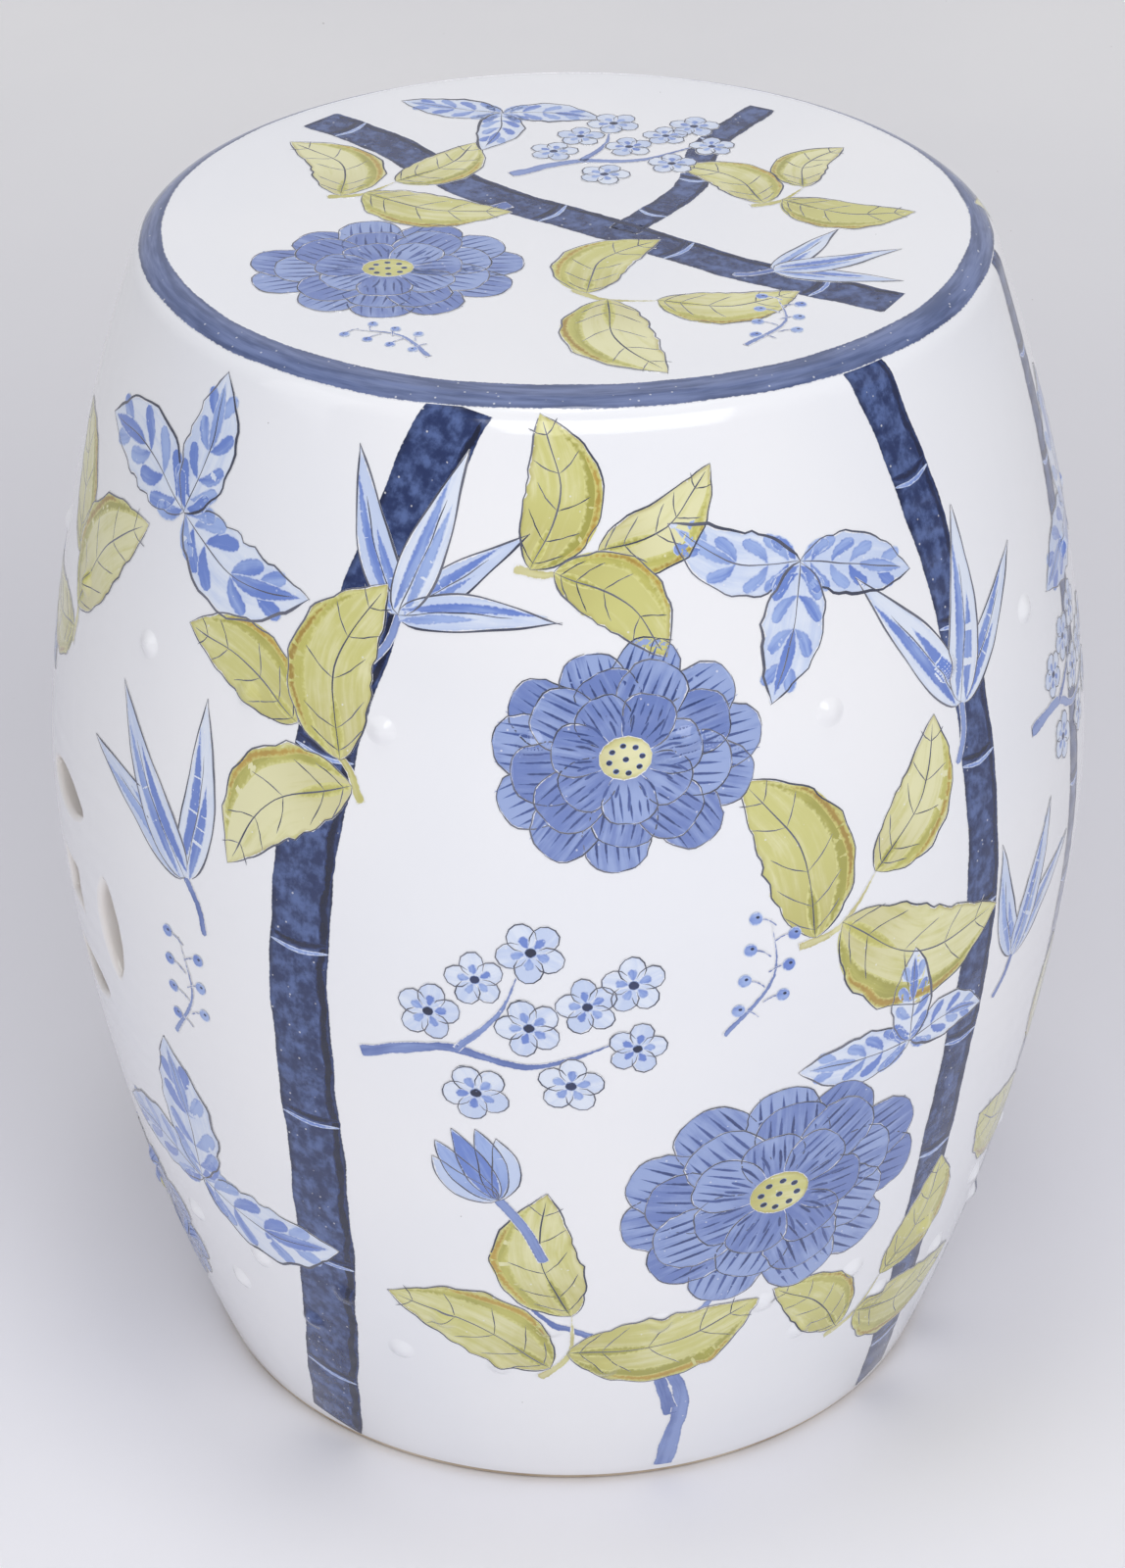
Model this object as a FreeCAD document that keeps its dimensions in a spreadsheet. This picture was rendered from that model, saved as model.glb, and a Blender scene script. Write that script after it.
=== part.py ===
"""Ceramic garden stool: a barrel of three luted wall rings on a foot ring, closed by a seat slab.

Millimetres, +Z up, standing on Z = 0 with the barrel's axis on Z. The pierced coins that serve
as hand-holds look along +X and -X, and -Y is the front between them.
"""
import FreeCAD, Part
import math
import os

import Sketcher

DOCUMENT_NAME = "garden_stool"
SHEET_NAME = "Sizes"
PARTS_FOLDER = "parts"
VERTICAL_AXIS = -2
SMALLEST_CUT = 1.0

# Driving dimensions, in millimetres and degrees, with counts as plain numbers
DRIVING_SIZES = (
    ("OverallHeight", 455.0, "floor to the top of the seat"),
    ("BellyRadius", 194.3, "outside of the wall where it is widest"),
    ("BellyHeight", 246.0, "height of the widest place"),
    ("BellyArc", 305.0, "radius of the wall's bulge, in a section through the axis"),
    ("BellyAngle", 6.0, "angle of that bulge above and below the widest place"),
    ("FootRadius", 141.0, "outside of the foot at the floor"),
    ("ShoulderRadius", 157.3, "outside of the wall under the seat slab"),
    ("KneeHeight", 140.0, "height of the joint of the lower two wall rings"),
    ("WaistHeight", 220.0, "height of the joint of the upper two"),
    ("WallThickness", 11.0, "wall, measured square to its face"),
    ("SeatThickness", 16.0, "seat slab at its rim"),
    ("SeatEdgeRadius", 13.0, "rounding of the seat's edge"),
    ("SeatPlugDepth", 4.0, "step of the slab that drops inside the wall"),
    ("SeatPlugGap", 0.6, "play between that step and the wall"),
    ("FootHeight", 12.0, "thickness of the foot ring"),
    ("FootWidth", 25.0, "width of the foot ring at the floor"),
    ("FootBevel", 1.5, "height of the bevel at the foot's outer edge"),
    ("CoilGap", 0.35, "space between a luting coil and the wall it is pressed on"),
    ("KneeCoilHeight", 10.0, "height of the coil over the joint of the lower two rings"),
    ("KneeCoilDepth", 8.0, "how far that coil stands in from the wall"),
    ("SeatCoilSize", 12.0, "height and width of the coil in the corner under the seat"),
    ("SeatCoilFace", 24.0, "radius of that coil's hollow face"),
    ("CoinHeight", 220.0, "height of the middle of a pierced coin"),
    ("CoinRadius", 39.0, "middle of the coin to the middle of a lens opening"),
    ("LensLength", 41.0, "lens opening, tip to tip"),
    ("LensWidth", 15.0, "lens opening at its middle"),
    ("CoinHoleSize", 18.0, "middle opening of the coin, corner to corner along a side"),
    ("CoinHoleHollow", 0.8, "how far each side of the middle opening bows inward"),
    ("StudRadius", 5.0, "radius of a stud"),
    ("StudHeight", 2.0, "how far the top of a stud stands out of the wall"),
    ("StudEdge", 0.4, "height of a stud's side above the wall"),
    ("StudSeatDepth", 1.0, "depth of the flat seat that a stud is pressed into"),
    ("StudSeatGap", 0.3, "space round a stud in its seat"),
    ("UpperStudHeight", 345.0, "height of the ring of studs on the upper wall"),
    ("UpperStudCount", 22.0, "studs in that ring"),
    ("UpperStudPhase", 2.35, "turn of that ring's first stud from +X"),
    ("LowerStudHeight", 71.5, "height of the lowest ring of studs"),
    ("LowerStudRise", 23.0, "height of the second ring above the lowest"),
    ("LowerStudCount", 27.0, "studs in each of the two lower rings"),
    ("LowerStudPhase", 9.3, "turn of the second ring's first stud from +X"),
)

# Sizes worked out from the driving ones: the wall's section is four arcs, each tangent to the next
WORKED_OUT_SIZES = (
    ("ShoulderHeight", "OverallHeight - SeatThickness", "top of the wall"),
    ("BendRadius", "BellyRadius - BellyArc * (1 - cos(BellyAngle))", "wall where the bulge ends"),
    ("LowBendHeight", "BellyHeight - BellyArc * sin(BellyAngle)", "lower end of the bulge"),
    ("HighBendHeight", "BellyHeight + BellyArc * sin(BellyAngle)", "upper end of the bulge"),
    ("LowArc", "((FootRadius - BendRadius)^2 + LowBendHeight^2)"
               " / (2 * ((BendRadius - FootRadius) * cos(BellyAngle) - LowBendHeight * sin(BellyAngle)))",
     "radius of the long arc of the lower wall"),
    ("LowCentreX", "BendRadius - LowArc * cos(BellyAngle)", "centre of that arc, off the axis"),
    ("LowCentreZ", "LowBendHeight + LowArc * sin(BellyAngle)", "centre of that arc, height"),
    ("HighArc", "((ShoulderRadius - BendRadius)^2 + (ShoulderHeight - HighBendHeight)^2)"
                " / (2 * ((BendRadius - ShoulderRadius) * cos(BellyAngle)"
                " - (ShoulderHeight - HighBendHeight) * sin(BellyAngle)))",
     "radius of the long arc of the upper wall"),
    ("HighCentreX", "BendRadius - HighArc * cos(BellyAngle)", "centre of that arc, off the axis"),
    ("HighCentreZ", "HighBendHeight - HighArc * sin(BellyAngle)", "centre of that arc, height"),
    ("BellyInnerArc", "BellyArc - WallThickness", "inside of the bulge"),
    ("LowInnerArc", "LowArc - WallThickness", "inside of the lower arc"),
    ("HighInnerArc", "HighArc - WallThickness", "inside of the upper arc"),
    ("BendInner", "BendRadius - WallThickness * cos(BellyAngle)", "inside of the wall where the bulge ends"),
    ("LowBendInnerHeight", "LowBendHeight + WallThickness * sin(BellyAngle)", "lower inside end of the bulge"),
    ("HighBendInnerHeight", "HighBendHeight - WallThickness * sin(BellyAngle)", "its upper inside end"),
    ("FootTopRadius", "LowCentreX + sqrt(LowArc^2 - (FootHeight - LowCentreZ)^2)", "wall on the foot ring"),
    ("FootTopInner", "LowCentreX + sqrt(LowInnerArc^2 - (FootHeight - LowCentreZ)^2)", "its inside"),
    ("KneeRadius", "LowCentreX + sqrt(LowArc^2 - (KneeHeight - LowCentreZ)^2)", "wall at the lower joint"),
    ("KneeInner", "LowCentreX + sqrt(LowInnerArc^2 - (KneeHeight - LowCentreZ)^2)", "its inside"),
    ("WaistRadius", "BellyRadius - BellyArc + sqrt(BellyArc^2 - (WaistHeight - BellyHeight)^2)",
     "wall at the upper joint"),
    ("WaistInner", "BellyRadius - BellyArc + sqrt(BellyInnerArc^2 - (WaistHeight - BellyHeight)^2)",
     "its inside"),
    ("BevelTopRadius", "LowCentreX + sqrt(LowArc^2 - (FootBevel - LowCentreZ)^2)", "foot above its bevel"),
    ("BevelFootRadius", "FootRadius - FootBevel", "foot on the floor"),
    ("FootInner", "FootRadius - FootWidth", "inside of the foot ring"),
    ("ShoulderInner", "HighCentreX + sqrt(HighInnerArc^2 - (ShoulderHeight - HighCentreZ)^2)",
     "inside of the wall under the seat slab"),
    ("ShoulderLean", "asin((ShoulderHeight - HighCentreZ) / HighArc) / 1 deg",
     "lean of the wall there, in degrees"),
    ("EdgeEndHeight", "OverallHeight - SeatEdgeRadius + SeatEdgeRadius * sin(ShoulderLean)",
     "where the seat's rounded edge meets its leaning side"),
    ("EdgeEndRadius", "ShoulderRadius - tan(ShoulderLean) * (EdgeEndHeight - ShoulderHeight)",
     "the same place"),
    ("SeatFlatRadius", "EdgeEndRadius - SeatEdgeRadius * cos(ShoulderLean)", "flat top of the seat"),
    ("PlugRadius", "ShoulderInner - SeatPlugGap", "step under the slab"),
    ("PlugBottom", "ShoulderHeight - SeatPlugDepth", "underside of the slab"),
    ("KneeCoilTop", "KneeHeight + KneeCoilHeight / 2", "coil over the lower joint"),
    ("KneeCoilBottom", "KneeHeight - KneeCoilHeight / 2", "coil over the lower joint"),
    ("KneeCoilTopOuter", "LowCentreX + sqrt((LowInnerArc - CoilGap)^2 - (KneeCoilTop - LowCentreZ)^2)",
     "its upper outer edge"),
    ("KneeCoilLowOuter", "LowCentreX + sqrt((LowInnerArc - CoilGap)^2 - (KneeCoilBottom - LowCentreZ)^2)",
     "its lower outer edge"),
    ("KneeCoilLean", "(KneeCoilTopOuter - KneeCoilLowOuter) / 2", "how far the coil leans out, halved"),
    ("KneeCoilBow", "((KneeCoilHeight / 2)^2 + KneeCoilLean^2 + KneeCoilDepth^2) / (2 * KneeCoilDepth)",
     "radius of its rounded inner face"),
    ("SeatCoilBottom", "PlugBottom - SeatCoilSize", "coil under the seat"),
    ("SeatCoilTopOuter", "HighCentreX + sqrt((HighInnerArc - CoilGap)^2 - (PlugBottom - HighCentreZ)^2)",
     "coil's outer edge at the slab"),
    ("SeatCoilLowOuter", "HighCentreX + sqrt((HighInnerArc - CoilGap)^2 - (SeatCoilBottom - HighCentreZ)^2)",
     "coil's outer edge at its foot"),
    ("SeatCoilTopInner", "SeatCoilTopOuter - SeatCoilSize", "coil's inner edge at the slab"),
    ("LensArc", "((LensLength / 2)^2 + (LensWidth / 2)^2) / LensWidth", "radius of a lens side"),
    ("HoleSideArc", "((CoinHoleSize / 2)^2 + CoinHoleHollow^2) / (2 * CoinHoleHollow)",
     "radius of a side of the middle opening"),
    ("StudDome", "(StudRadius^2 + (StudHeight - StudEdge)^2) / (2 * (StudHeight - StudEdge))",
     "radius of a stud's domed face"),
    ("SecondStudHeight", "LowerStudHeight + LowerStudRise", "height of the second ring"),
    ("LowestStudPhase", "LowerStudPhase + 180 / LowerStudCount", "half a step from the second ring"),
)

# Each ring of studs: name, height, and the wall arc it stands on (radius, centre off the axis, centre height)
STUD_RINGS = (
    ("Upper", "UpperStudHeight", "HighArc", "HighCentreX", "HighCentreZ"),
    ("Second", "SecondStudHeight", "LowArc", "LowCentreX", "LowCentreZ"),
    ("Lowest", "LowerStudHeight", "LowArc", "LowCentreX", "LowCentreZ"),
)

# Points of a stud's half section and of its seat: how far out of the wall, and how far from the stud's axis
STUD_POINTS = (
    ("FloorMiddle", "-StudSeatDepth", "0"),
    ("FloorEdge", "-StudSeatDepth", "StudRadius"),
    ("SideTop", "StudEdge", "StudRadius"),
    ("Crown", "StudHeight", "0"),
    ("SeatEdge", "-StudSeatDepth", "StudRadius + StudSeatGap"),
    ("SeatMouth", "StudHeight + StudSeatDepth", "StudRadius + StudSeatGap"),
    ("MouthMiddle", "StudHeight + StudSeatDepth", "0"),
)

# Openings of a coin: name, corners as (sideways, upwards) from the coin's middle, and the radius of the sides
LENS_HALF = "LensLength / 2"
HOLE_HALF = "CoinHoleSize / 2"
COIN_OPENINGS = {
    "TopLens": (((f"-{LENS_HALF}", "CoinRadius"), (LENS_HALF, "CoinRadius")), "LensArc", True),
    "BottomLens": (((f"-{LENS_HALF}", "-CoinRadius"), (LENS_HALF, "-CoinRadius")), "LensArc", True),
    "LeftLens": ((("-CoinRadius", f"-{LENS_HALF}"), ("-CoinRadius", LENS_HALF)), "LensArc", True),
    "RightLens": ((("CoinRadius", f"-{LENS_HALF}"), ("CoinRadius", LENS_HALF)), "LensArc", True),
    "Middle": (((f"-{HOLE_HALF}", f"-{HOLE_HALF}"), (HOLE_HALF, f"-{HOLE_HALF}"),
                (HOLE_HALF, HOLE_HALF), (f"-{HOLE_HALF}", HOLE_HALF)), "HoleSideArc", False),
}
UPPER_WALL_OPENINGS = ("TopLens", "LeftLens", "RightLens", "Middle")
BELLY_WALL_OPENINGS = ("BottomLens", "LeftLens", "RightLens", "Middle")


class SizeSheet:
    """The spreadsheet of named sizes that every sketch and feature is bound to."""

    def __init__(self, document):
        self.sheet = document.addObject("Spreadsheet::Sheet", SHEET_NAME)
        self.row = 0

    def add(self, alias, content, note):
        """Write one named cell: a plain number or a formula of other names."""
        self.row += 1
        self.sheet.set(f"A{self.row}", note)
        self.sheet.set(f"B{self.row}", content)
        self.sheet.setAlias(f"B{self.row}", alias)

    def value(self, alias):
        """The number that a name stands for, after a recompute."""
        return float(getattr(self.sheet, alias))

    def fill(self):
        """Write the driving sizes and all that follows from them."""
        for alias, number, note in DRIVING_SIZES:
            self.add(alias, repr(number), note)
        for alias, formula, note in WORKED_OUT_SIZES:
            self.add(alias, f"={formula}", note)
        for ring in STUD_RINGS:
            self.add_stud_points(*ring)
        for opening, (corners, _, _) in COIN_OPENINGS.items():
            for number, (sideways, upwards) in enumerate(corners):
                self.add(f"{opening}Side{number}x", f"={sideways}", f"{opening} corner, sideways")
                self.add(f"{opening}Up{number}x", f"=CoinHeight + {upwards}", f"{opening} corner, height")
        self.sheet.Document.recompute()

    def add_stud_points(self, ring, height, arc, centre_x, centre_z):
        """Write the section points of one ring's studs, square to the wall at the ring's height."""
        tilt = f"{ring}Tilt"
        self.add(tilt, f"=asin(({height} - {centre_z}) / {arc}) / 1 deg", f"{ring} studs, tilt in degrees")
        self.add(f"{ring}Out", f"={centre_x} + {arc} * cos({tilt})", f"{ring} studs, wall radius")
        for point, outward, aside in STUD_POINTS:
            self.add(f"{ring}{point}Out", f"={ring}Out + ({outward}) * cos({tilt}) - ({aside}) * sin({tilt})",
                     f"{ring} stud, {point}, off the axis")
            self.add(f"{ring}{point}Up", f"={height} + ({outward}) * sin({tilt}) + ({aside}) * cos({tilt})",
                     f"{ring} stud, {point}, height")


def origin_feature(body, role):
    """The body's own origin plane or axis with the given role."""
    return next(feature for feature in body.Origin.OriginFeatures if feature.Role == role)


def new_body(document, name):
    """An empty body that will be written under its own name."""
    body = document.addObject("PartDesign::Body", name)
    body.Label = name
    body.AllowCompound = True
    body.Placement = FreeCAD.Placement()
    return body


def new_sketch(body, name, plane, turn_alias=None):
    """A sketch on one of the body's origin planes, turned about Z by a named angle where one is given."""
    sketch = body.newObject("Sketcher::SketchObject", name)
    sketch.AttachmentSupport = [(origin_feature(body, plane), "")]
    sketch.MapMode = "FlatFace"
    if turn_alias:
        about_z = FreeCAD.Rotation(FreeCAD.Vector(0, 1, 0), 1.0)
        sketch.AttachmentOffset = FreeCAD.Placement(FreeCAD.Vector(), about_z)
        sketch.setExpression("AttachmentOffset.Rotation.Angle", f"{SHEET_NAME}.{turn_alias}")
    return sketch


def arc_through(start, end, radius, bulges_right):
    """An arc between two points, and whether it runs from start to end against the clock.

    Args:
        start: first point.
        end: second point.
        radius: the arc's radius.
        bulges_right: whether the arc bulges to the right of the way from start to end.
    Returns:
        The arc geometry and True where its start is the first point.
    """
    chord = end - start
    middle = (start + end) * 0.5
    right = FreeCAD.Vector(chord.y, -chord.x, 0).normalize()
    away = -1.0 if bulges_right else 1.0
    centre = middle + right * (away * math.sqrt(radius ** 2 - (chord.Length / 2) ** 2))
    first, last = (start, end) if bulges_right else (end, start)
    first_angle = math.atan2(first.y - centre.y, first.x - centre.x)
    last_angle = math.atan2(last.y - centre.y, last.x - centre.x)
    if last_angle < first_angle:
        last_angle += 2 * math.pi
    circle = Part.Circle(centre, FreeCAD.Vector(0, 0, 1), radius)
    return Part.ArcOfCircle(circle, first_angle, last_angle), bulges_right


def draw_loop(sketch, sizes, corners):
    """Draw a closed outline whose corners and radii are bound to named sizes.

    Args:
        sketch: the sketch to draw in.
        sizes: the size sheet.
        corners: per corner the names of its two coordinates (None on the vertical axis), and for the
            side that leaves it None for a straight line or (radius name, bulges right).
    """
    points = []
    for across, up, _ in corners:
        points.append(FreeCAD.Vector(sizes.value(across) if across else 0.0, sizes.value(up), 0))
    ends = []
    for number, (_, _, side) in enumerate(corners):
        start, end = points[number], points[(number + 1) % len(points)]
        if side is None:
            curve, forward = Part.LineSegment(start, end), True
        else:
            curve, forward = arc_through(start, end, sizes.value(side[0]), side[1])
        index = sketch.addGeometry(curve, False)
        ends.append((index, 1 if forward else 2, 2 if forward else 1))
    for number, (across, up, side) in enumerate(corners):
        index, start_end, _ = ends[number]
        before, _, before_end = ends[number - 1]
        sketch.addConstraint(Sketcher.Constraint("Coincident", before, before_end, index, start_end))
        if across:
            bind(sketch, ("DistanceX", -1, 1, index, start_end, points[number].x), across)
        else:
            sketch.addConstraint(Sketcher.Constraint("PointOnObject", index, start_end, VERTICAL_AXIS))
        bind(sketch, ("DistanceY", -1, 1, index, start_end, points[number].y), up)
        if side is not None:
            bind(sketch, ("Radius", index, sizes.value(side[0])), side[0])


def bind(sketch, constraint, alias):
    """Add a dimension to a sketch and tie it to a named size."""
    index = sketch.addConstraint(Sketcher.Constraint(*constraint))
    sketch.setExpression(f"Constraints[{index}]", f"{SHEET_NAME}.{alias}")


def add_axis_line(sketch, sizes, ring):
    """Draw the axis of one ring's first stud, about which its section is turned."""
    low = FreeCAD.Vector(sizes.value(f"{ring}FloorMiddleOut"), sizes.value(f"{ring}FloorMiddleUp"), 0)
    high = FreeCAD.Vector(sizes.value(f"{ring}MouthMiddleOut"), sizes.value(f"{ring}MouthMiddleUp"), 0)
    index = sketch.addGeometry(Part.LineSegment(low, high), True)
    for end, point, place in ((1, "FloorMiddle", low), (2, "MouthMiddle", high)):
        bind(sketch, ("DistanceX", -1, 1, index, end, place.x), f"{ring}{point}Out")
        bind(sketch, ("DistanceY", -1, 1, index, end, place.y), f"{ring}{point}Up")


def turn(body, kind, name, sketch, axis_name):
    """Turn a sketch a whole turn about one of its axes, adding to or cutting from its body."""
    feature = body.newObject(f"PartDesign::{kind}", name)
    feature.Profile = sketch
    feature.ReferenceAxis = (sketch, [axis_name])
    feature.Angle = 360.0
    body.Document.recompute()
    return feature


def repeat_round(body, name, feature, count_alias):
    """Repeat a feature evenly round the vertical axis."""
    pattern = body.newObject("PartDesign::PolarPattern", name)
    pattern.Originals = [feature]
    pattern.Axis = (origin_feature(body, "Z_Axis"), [""])
    pattern.Angle = 360.0
    pattern.setExpression("Occurrences", f"{SHEET_NAME}.{count_alias}")
    body.Tip = pattern
    body.Document.recompute()
    return pattern


def check_cut(body, name, volume_before):
    """Stop if a cut took nothing away."""
    if body.Shape.Volume >= volume_before - SMALLEST_CUT:
        raise RuntimeError(f"{body.Label}: {name} cut nothing")


def cut_coin_openings(body, sizes, openings):
    """Cut the named openings of the coins straight through both sides of a wall, along X."""
    sketch = new_sketch(body, "CoinOpenings", "YZ_Plane")
    for opening in openings:
        corners, radius, bulges = COIN_OPENINGS[opening]
        draw_loop(sketch, sizes, [(f"{opening}Side{number}x", f"{opening}Up{number}x", (radius, bulges))
                                  for number in range(len(corners))])
    before = body.Shape.Volume
    pocket = body.newObject("PartDesign::Pocket", "CoinPocket")
    pocket.Profile = sketch
    pocket.SideType = "Symmetric"
    pocket.setExpression("Length", f"4 * {SHEET_NAME}.BellyRadius")
    body.Document.recompute()
    check_cut(body, "coin openings", before)


def cut_stud_seats(body, sizes, ring, count_alias, phase_alias):
    """Cut the flat-floored seats of one ring of studs into a wall."""
    sketch = new_sketch(body, f"{ring}SeatSketch", "XZ_Plane", phase_alias)
    add_axis_line(sketch, sizes, ring)
    draw_loop(sketch, sizes, [(f"{ring}{point}Out", f"{ring}{point}Up", None)
                              for point in ("FloorMiddle", "SeatEdge", "SeatMouth", "MouthMiddle")])
    before = body.Shape.Volume
    groove = turn(body, "Groove", f"{ring}Seat", sketch, "Axis0")
    check_cut(body, f"{ring} stud seat", before)
    repeat_round(body, f"{ring}Seats", groove, count_alias)


def add_stud_ring(body, sizes, ring, count_alias, phase_alias):
    """Turn one domed stud and repeat it round the wall."""
    sketch = new_sketch(body, f"{ring}StudSketch", "XZ_Plane", phase_alias)
    add_axis_line(sketch, sizes, ring)
    sides = (("FloorMiddle", None), ("FloorEdge", None), ("SideTop", ("StudDome", True)), ("Crown", None))
    draw_loop(sketch, sizes, [(f"{ring}{point}Out", f"{ring}{point}Up", mirrored(side))
                              for point, side in sides])
    stud = turn(body, "Revolution", f"{ring}Stud", sketch, "Axis0")
    repeat_round(body, f"{ring}Studs", stud, count_alias)


def mirrored(side):
    """The same side for an outline that runs with the clock."""
    return None if side is None else (side[0], not side[1])


def make_lower_wall(document, sizes):
    """The lowest ring of the barrel wall, from the foot ring to the lower joint."""
    body = new_body(document, "lower_wall")
    sketch = new_sketch(body, "LowerSection", "XZ_Plane")
    draw_loop(sketch, sizes, (
        ("FootTopRadius", "FootHeight", ("LowArc", True)),
        ("KneeRadius", "KneeHeight", None),
        ("KneeInner", "KneeHeight", ("LowInnerArc", False)),
        ("FootTopInner", "FootHeight", None),
    ))
    turn(body, "Revolution", "LowerBarrel", sketch, "V_Axis")
    cut_stud_seats(body, sizes, "Second", "LowerStudCount", "LowerStudPhase")
    cut_stud_seats(body, sizes, "Lowest", "LowerStudCount", "LowestStudPhase")
    return body


def make_belly_wall(document, sizes):
    """The middle ring of the barrel wall, with most of the coins' openings."""
    body = new_body(document, "belly_wall")
    sketch = new_sketch(body, "BellySection", "XZ_Plane")
    draw_loop(sketch, sizes, (
        ("KneeRadius", "KneeHeight", ("LowArc", True)),
        ("BendRadius", "LowBendHeight", ("BellyArc", True)),
        ("WaistRadius", "WaistHeight", None),
        ("WaistInner", "WaistHeight", ("BellyInnerArc", False)),
        ("BendInner", "LowBendInnerHeight", ("LowInnerArc", False)),
        ("KneeInner", "KneeHeight", None),
    ))
    turn(body, "Revolution", "MiddleBarrel", sketch, "V_Axis")
    cut_coin_openings(body, sizes, BELLY_WALL_OPENINGS)
    return body


def make_upper_wall(document, sizes):
    """The upper ring of the barrel wall, from the upper joint to the seat slab, with the rest of the coins."""
    body = new_body(document, "upper_wall")
    sketch = new_sketch(body, "UpperSection", "XZ_Plane")
    draw_loop(sketch, sizes, (
        ("WaistRadius", "WaistHeight", ("BellyArc", True)),
        ("BendRadius", "HighBendHeight", ("HighArc", True)),
        ("ShoulderRadius", "ShoulderHeight", None),
        ("ShoulderInner", "ShoulderHeight", ("HighInnerArc", False)),
        ("BendInner", "HighBendInnerHeight", ("BellyInnerArc", False)),
        ("WaistInner", "WaistHeight", None),
    ))
    turn(body, "Revolution", "UpperBarrel", sketch, "V_Axis")
    cut_coin_openings(body, sizes, UPPER_WALL_OPENINGS)
    cut_stud_seats(body, sizes, "Upper", "UpperStudCount", "UpperStudPhase")
    return body


def make_foot_ring(document, sizes):
    """The clay ring that the wall stands on, with a flat underside and a small bevel."""
    body = new_body(document, "foot_ring")
    sketch = new_sketch(body, "FootSection", "XZ_Plane")
    draw_loop(sketch, sizes, (
        ("BevelFootRadius", "FloorLevel", None),
        ("BevelTopRadius", "FootBevel", ("LowArc", True)),
        ("FootTopRadius", "FootHeight", None),
        ("FootInner", "FootHeight", None),
        ("FootInner", "FloorLevel", None),
    ))
    turn(body, "Revolution", "FootTurned", sketch, "V_Axis")
    return body


def make_seat_slab(document, sizes):
    """The flat round seat: a rounded edge, a side that keeps the wall's lean, and a step inside the wall."""
    body = new_body(document, "seat_slab")
    sketch = new_sketch(body, "SeatSection", "XZ_Plane")
    draw_loop(sketch, sizes, (
        (None, "PlugBottom", None),
        ("PlugRadius", "PlugBottom", None),
        ("PlugRadius", "ShoulderHeight", None),
        ("ShoulderRadius", "ShoulderHeight", None),
        ("EdgeEndRadius", "EdgeEndHeight", ("SeatEdgeRadius", True)),
        ("SeatFlatRadius", "OverallHeight", None),
        (None, "OverallHeight", None),
    ))
    turn(body, "Revolution", "SeatTurned", sketch, "V_Axis")
    return body


def make_knee_coil(document, sizes):
    """The coil pressed over the lower joint, inside, leaning with the wall."""
    body = new_body(document, "knee_coil")
    sketch = new_sketch(body, "KneeCoilSection", "XZ_Plane")
    draw_loop(sketch, sizes, (
        ("KneeCoilLowOuter", "KneeCoilBottom", None),
        ("KneeCoilTopOuter", "KneeCoilTop", ("KneeCoilBow", True)),
    ))
    turn(body, "Revolution", "KneeCoilTurned", sketch, "V_Axis")
    return body


def make_seat_coil(document, sizes):
    """The coil pressed into the corner between the wall and the underside of the slab."""
    body = new_body(document, "seat_coil")
    sketch = new_sketch(body, "SeatCoilSection", "XZ_Plane")
    draw_loop(sketch, sizes, (
        ("SeatCoilLowOuter", "SeatCoilBottom", None),
        ("SeatCoilTopOuter", "PlugBottom", None),
        ("SeatCoilTopInner", "PlugBottom", ("SeatCoilFace", False)),
    ))
    turn(body, "Revolution", "SeatCoilTurned", sketch, "V_Axis")
    return body


def make_upper_studs(document, sizes):
    """The ring of studs round the upper wall."""
    body = new_body(document, "upper_studs")
    add_stud_ring(body, sizes, "Upper", "UpperStudCount", "UpperStudPhase")
    return body


def make_lower_studs(document, sizes):
    """The two staggered rings of studs near the foot."""
    body = new_body(document, "lower_studs")
    add_stud_ring(body, sizes, "Second", "LowerStudCount", "LowerStudPhase")
    add_stud_ring(body, sizes, "Lowest", "LowerStudCount", "LowestStudPhase")
    return body


MAKERS = (make_foot_ring, make_lower_wall, make_belly_wall, make_upper_wall, make_seat_slab, make_knee_coil,
          make_seat_coil, make_upper_studs, make_lower_studs)


def check_document(document, bodies):
    """Stop if any object failed or any piece has no sound solid."""
    for item in document.Objects:
        if "Invalid" in item.State or "Error" in item.State:
            raise RuntimeError(f"{item.Label} did not recompute: {item.State}")
    for body in bodies:
        if body.Shape.isNull() or not body.Shape.isValid() or not body.Shape.Solids:
            raise RuntimeError(f"{body.Label} has no valid solid")


def main():
    """Build every piece, check it and write it to the parts folder."""
    os.makedirs(PARTS_FOLDER, exist_ok=True)
    document = FreeCAD.newDocument(DOCUMENT_NAME)
    sizes = SizeSheet(document)
    sizes.add("FloorLevel", "0", "height of the floor")
    sizes.fill()
    bodies = [maker(document, sizes) for maker in MAKERS]
    document.recompute()
    check_document(document, bodies)
    for body in bodies:
        body.Shape.exportStep(os.path.join(PARTS_FOLDER, f"{body.Label}.step"))
        print(f"{body.Label}: {len(body.Shape.Solids)} solids, {body.Shape.Volume / 1000:.1f} cm3")


main()
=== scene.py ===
"""Looks of a glazed ceramic garden stool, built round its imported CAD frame.

A white glazed barrel with a pierced coin on each side stands on a bare clay foot. Its seat has a blue rim,
and painted bamboo, lotus, plum blossom and leaves run all round it. Everything is in metres, +Z up, with the
barrel's axis on Z. Angles round the barrel are counted from +X towards +Y, in radians.
"""

import logging
import math
from dataclasses import dataclass, field
from enum import Enum
from functools import cached_property
from typing import Callable, Sequence, Union

import bpy
import numpy as np
from mathutils import Matrix, Vector

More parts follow.
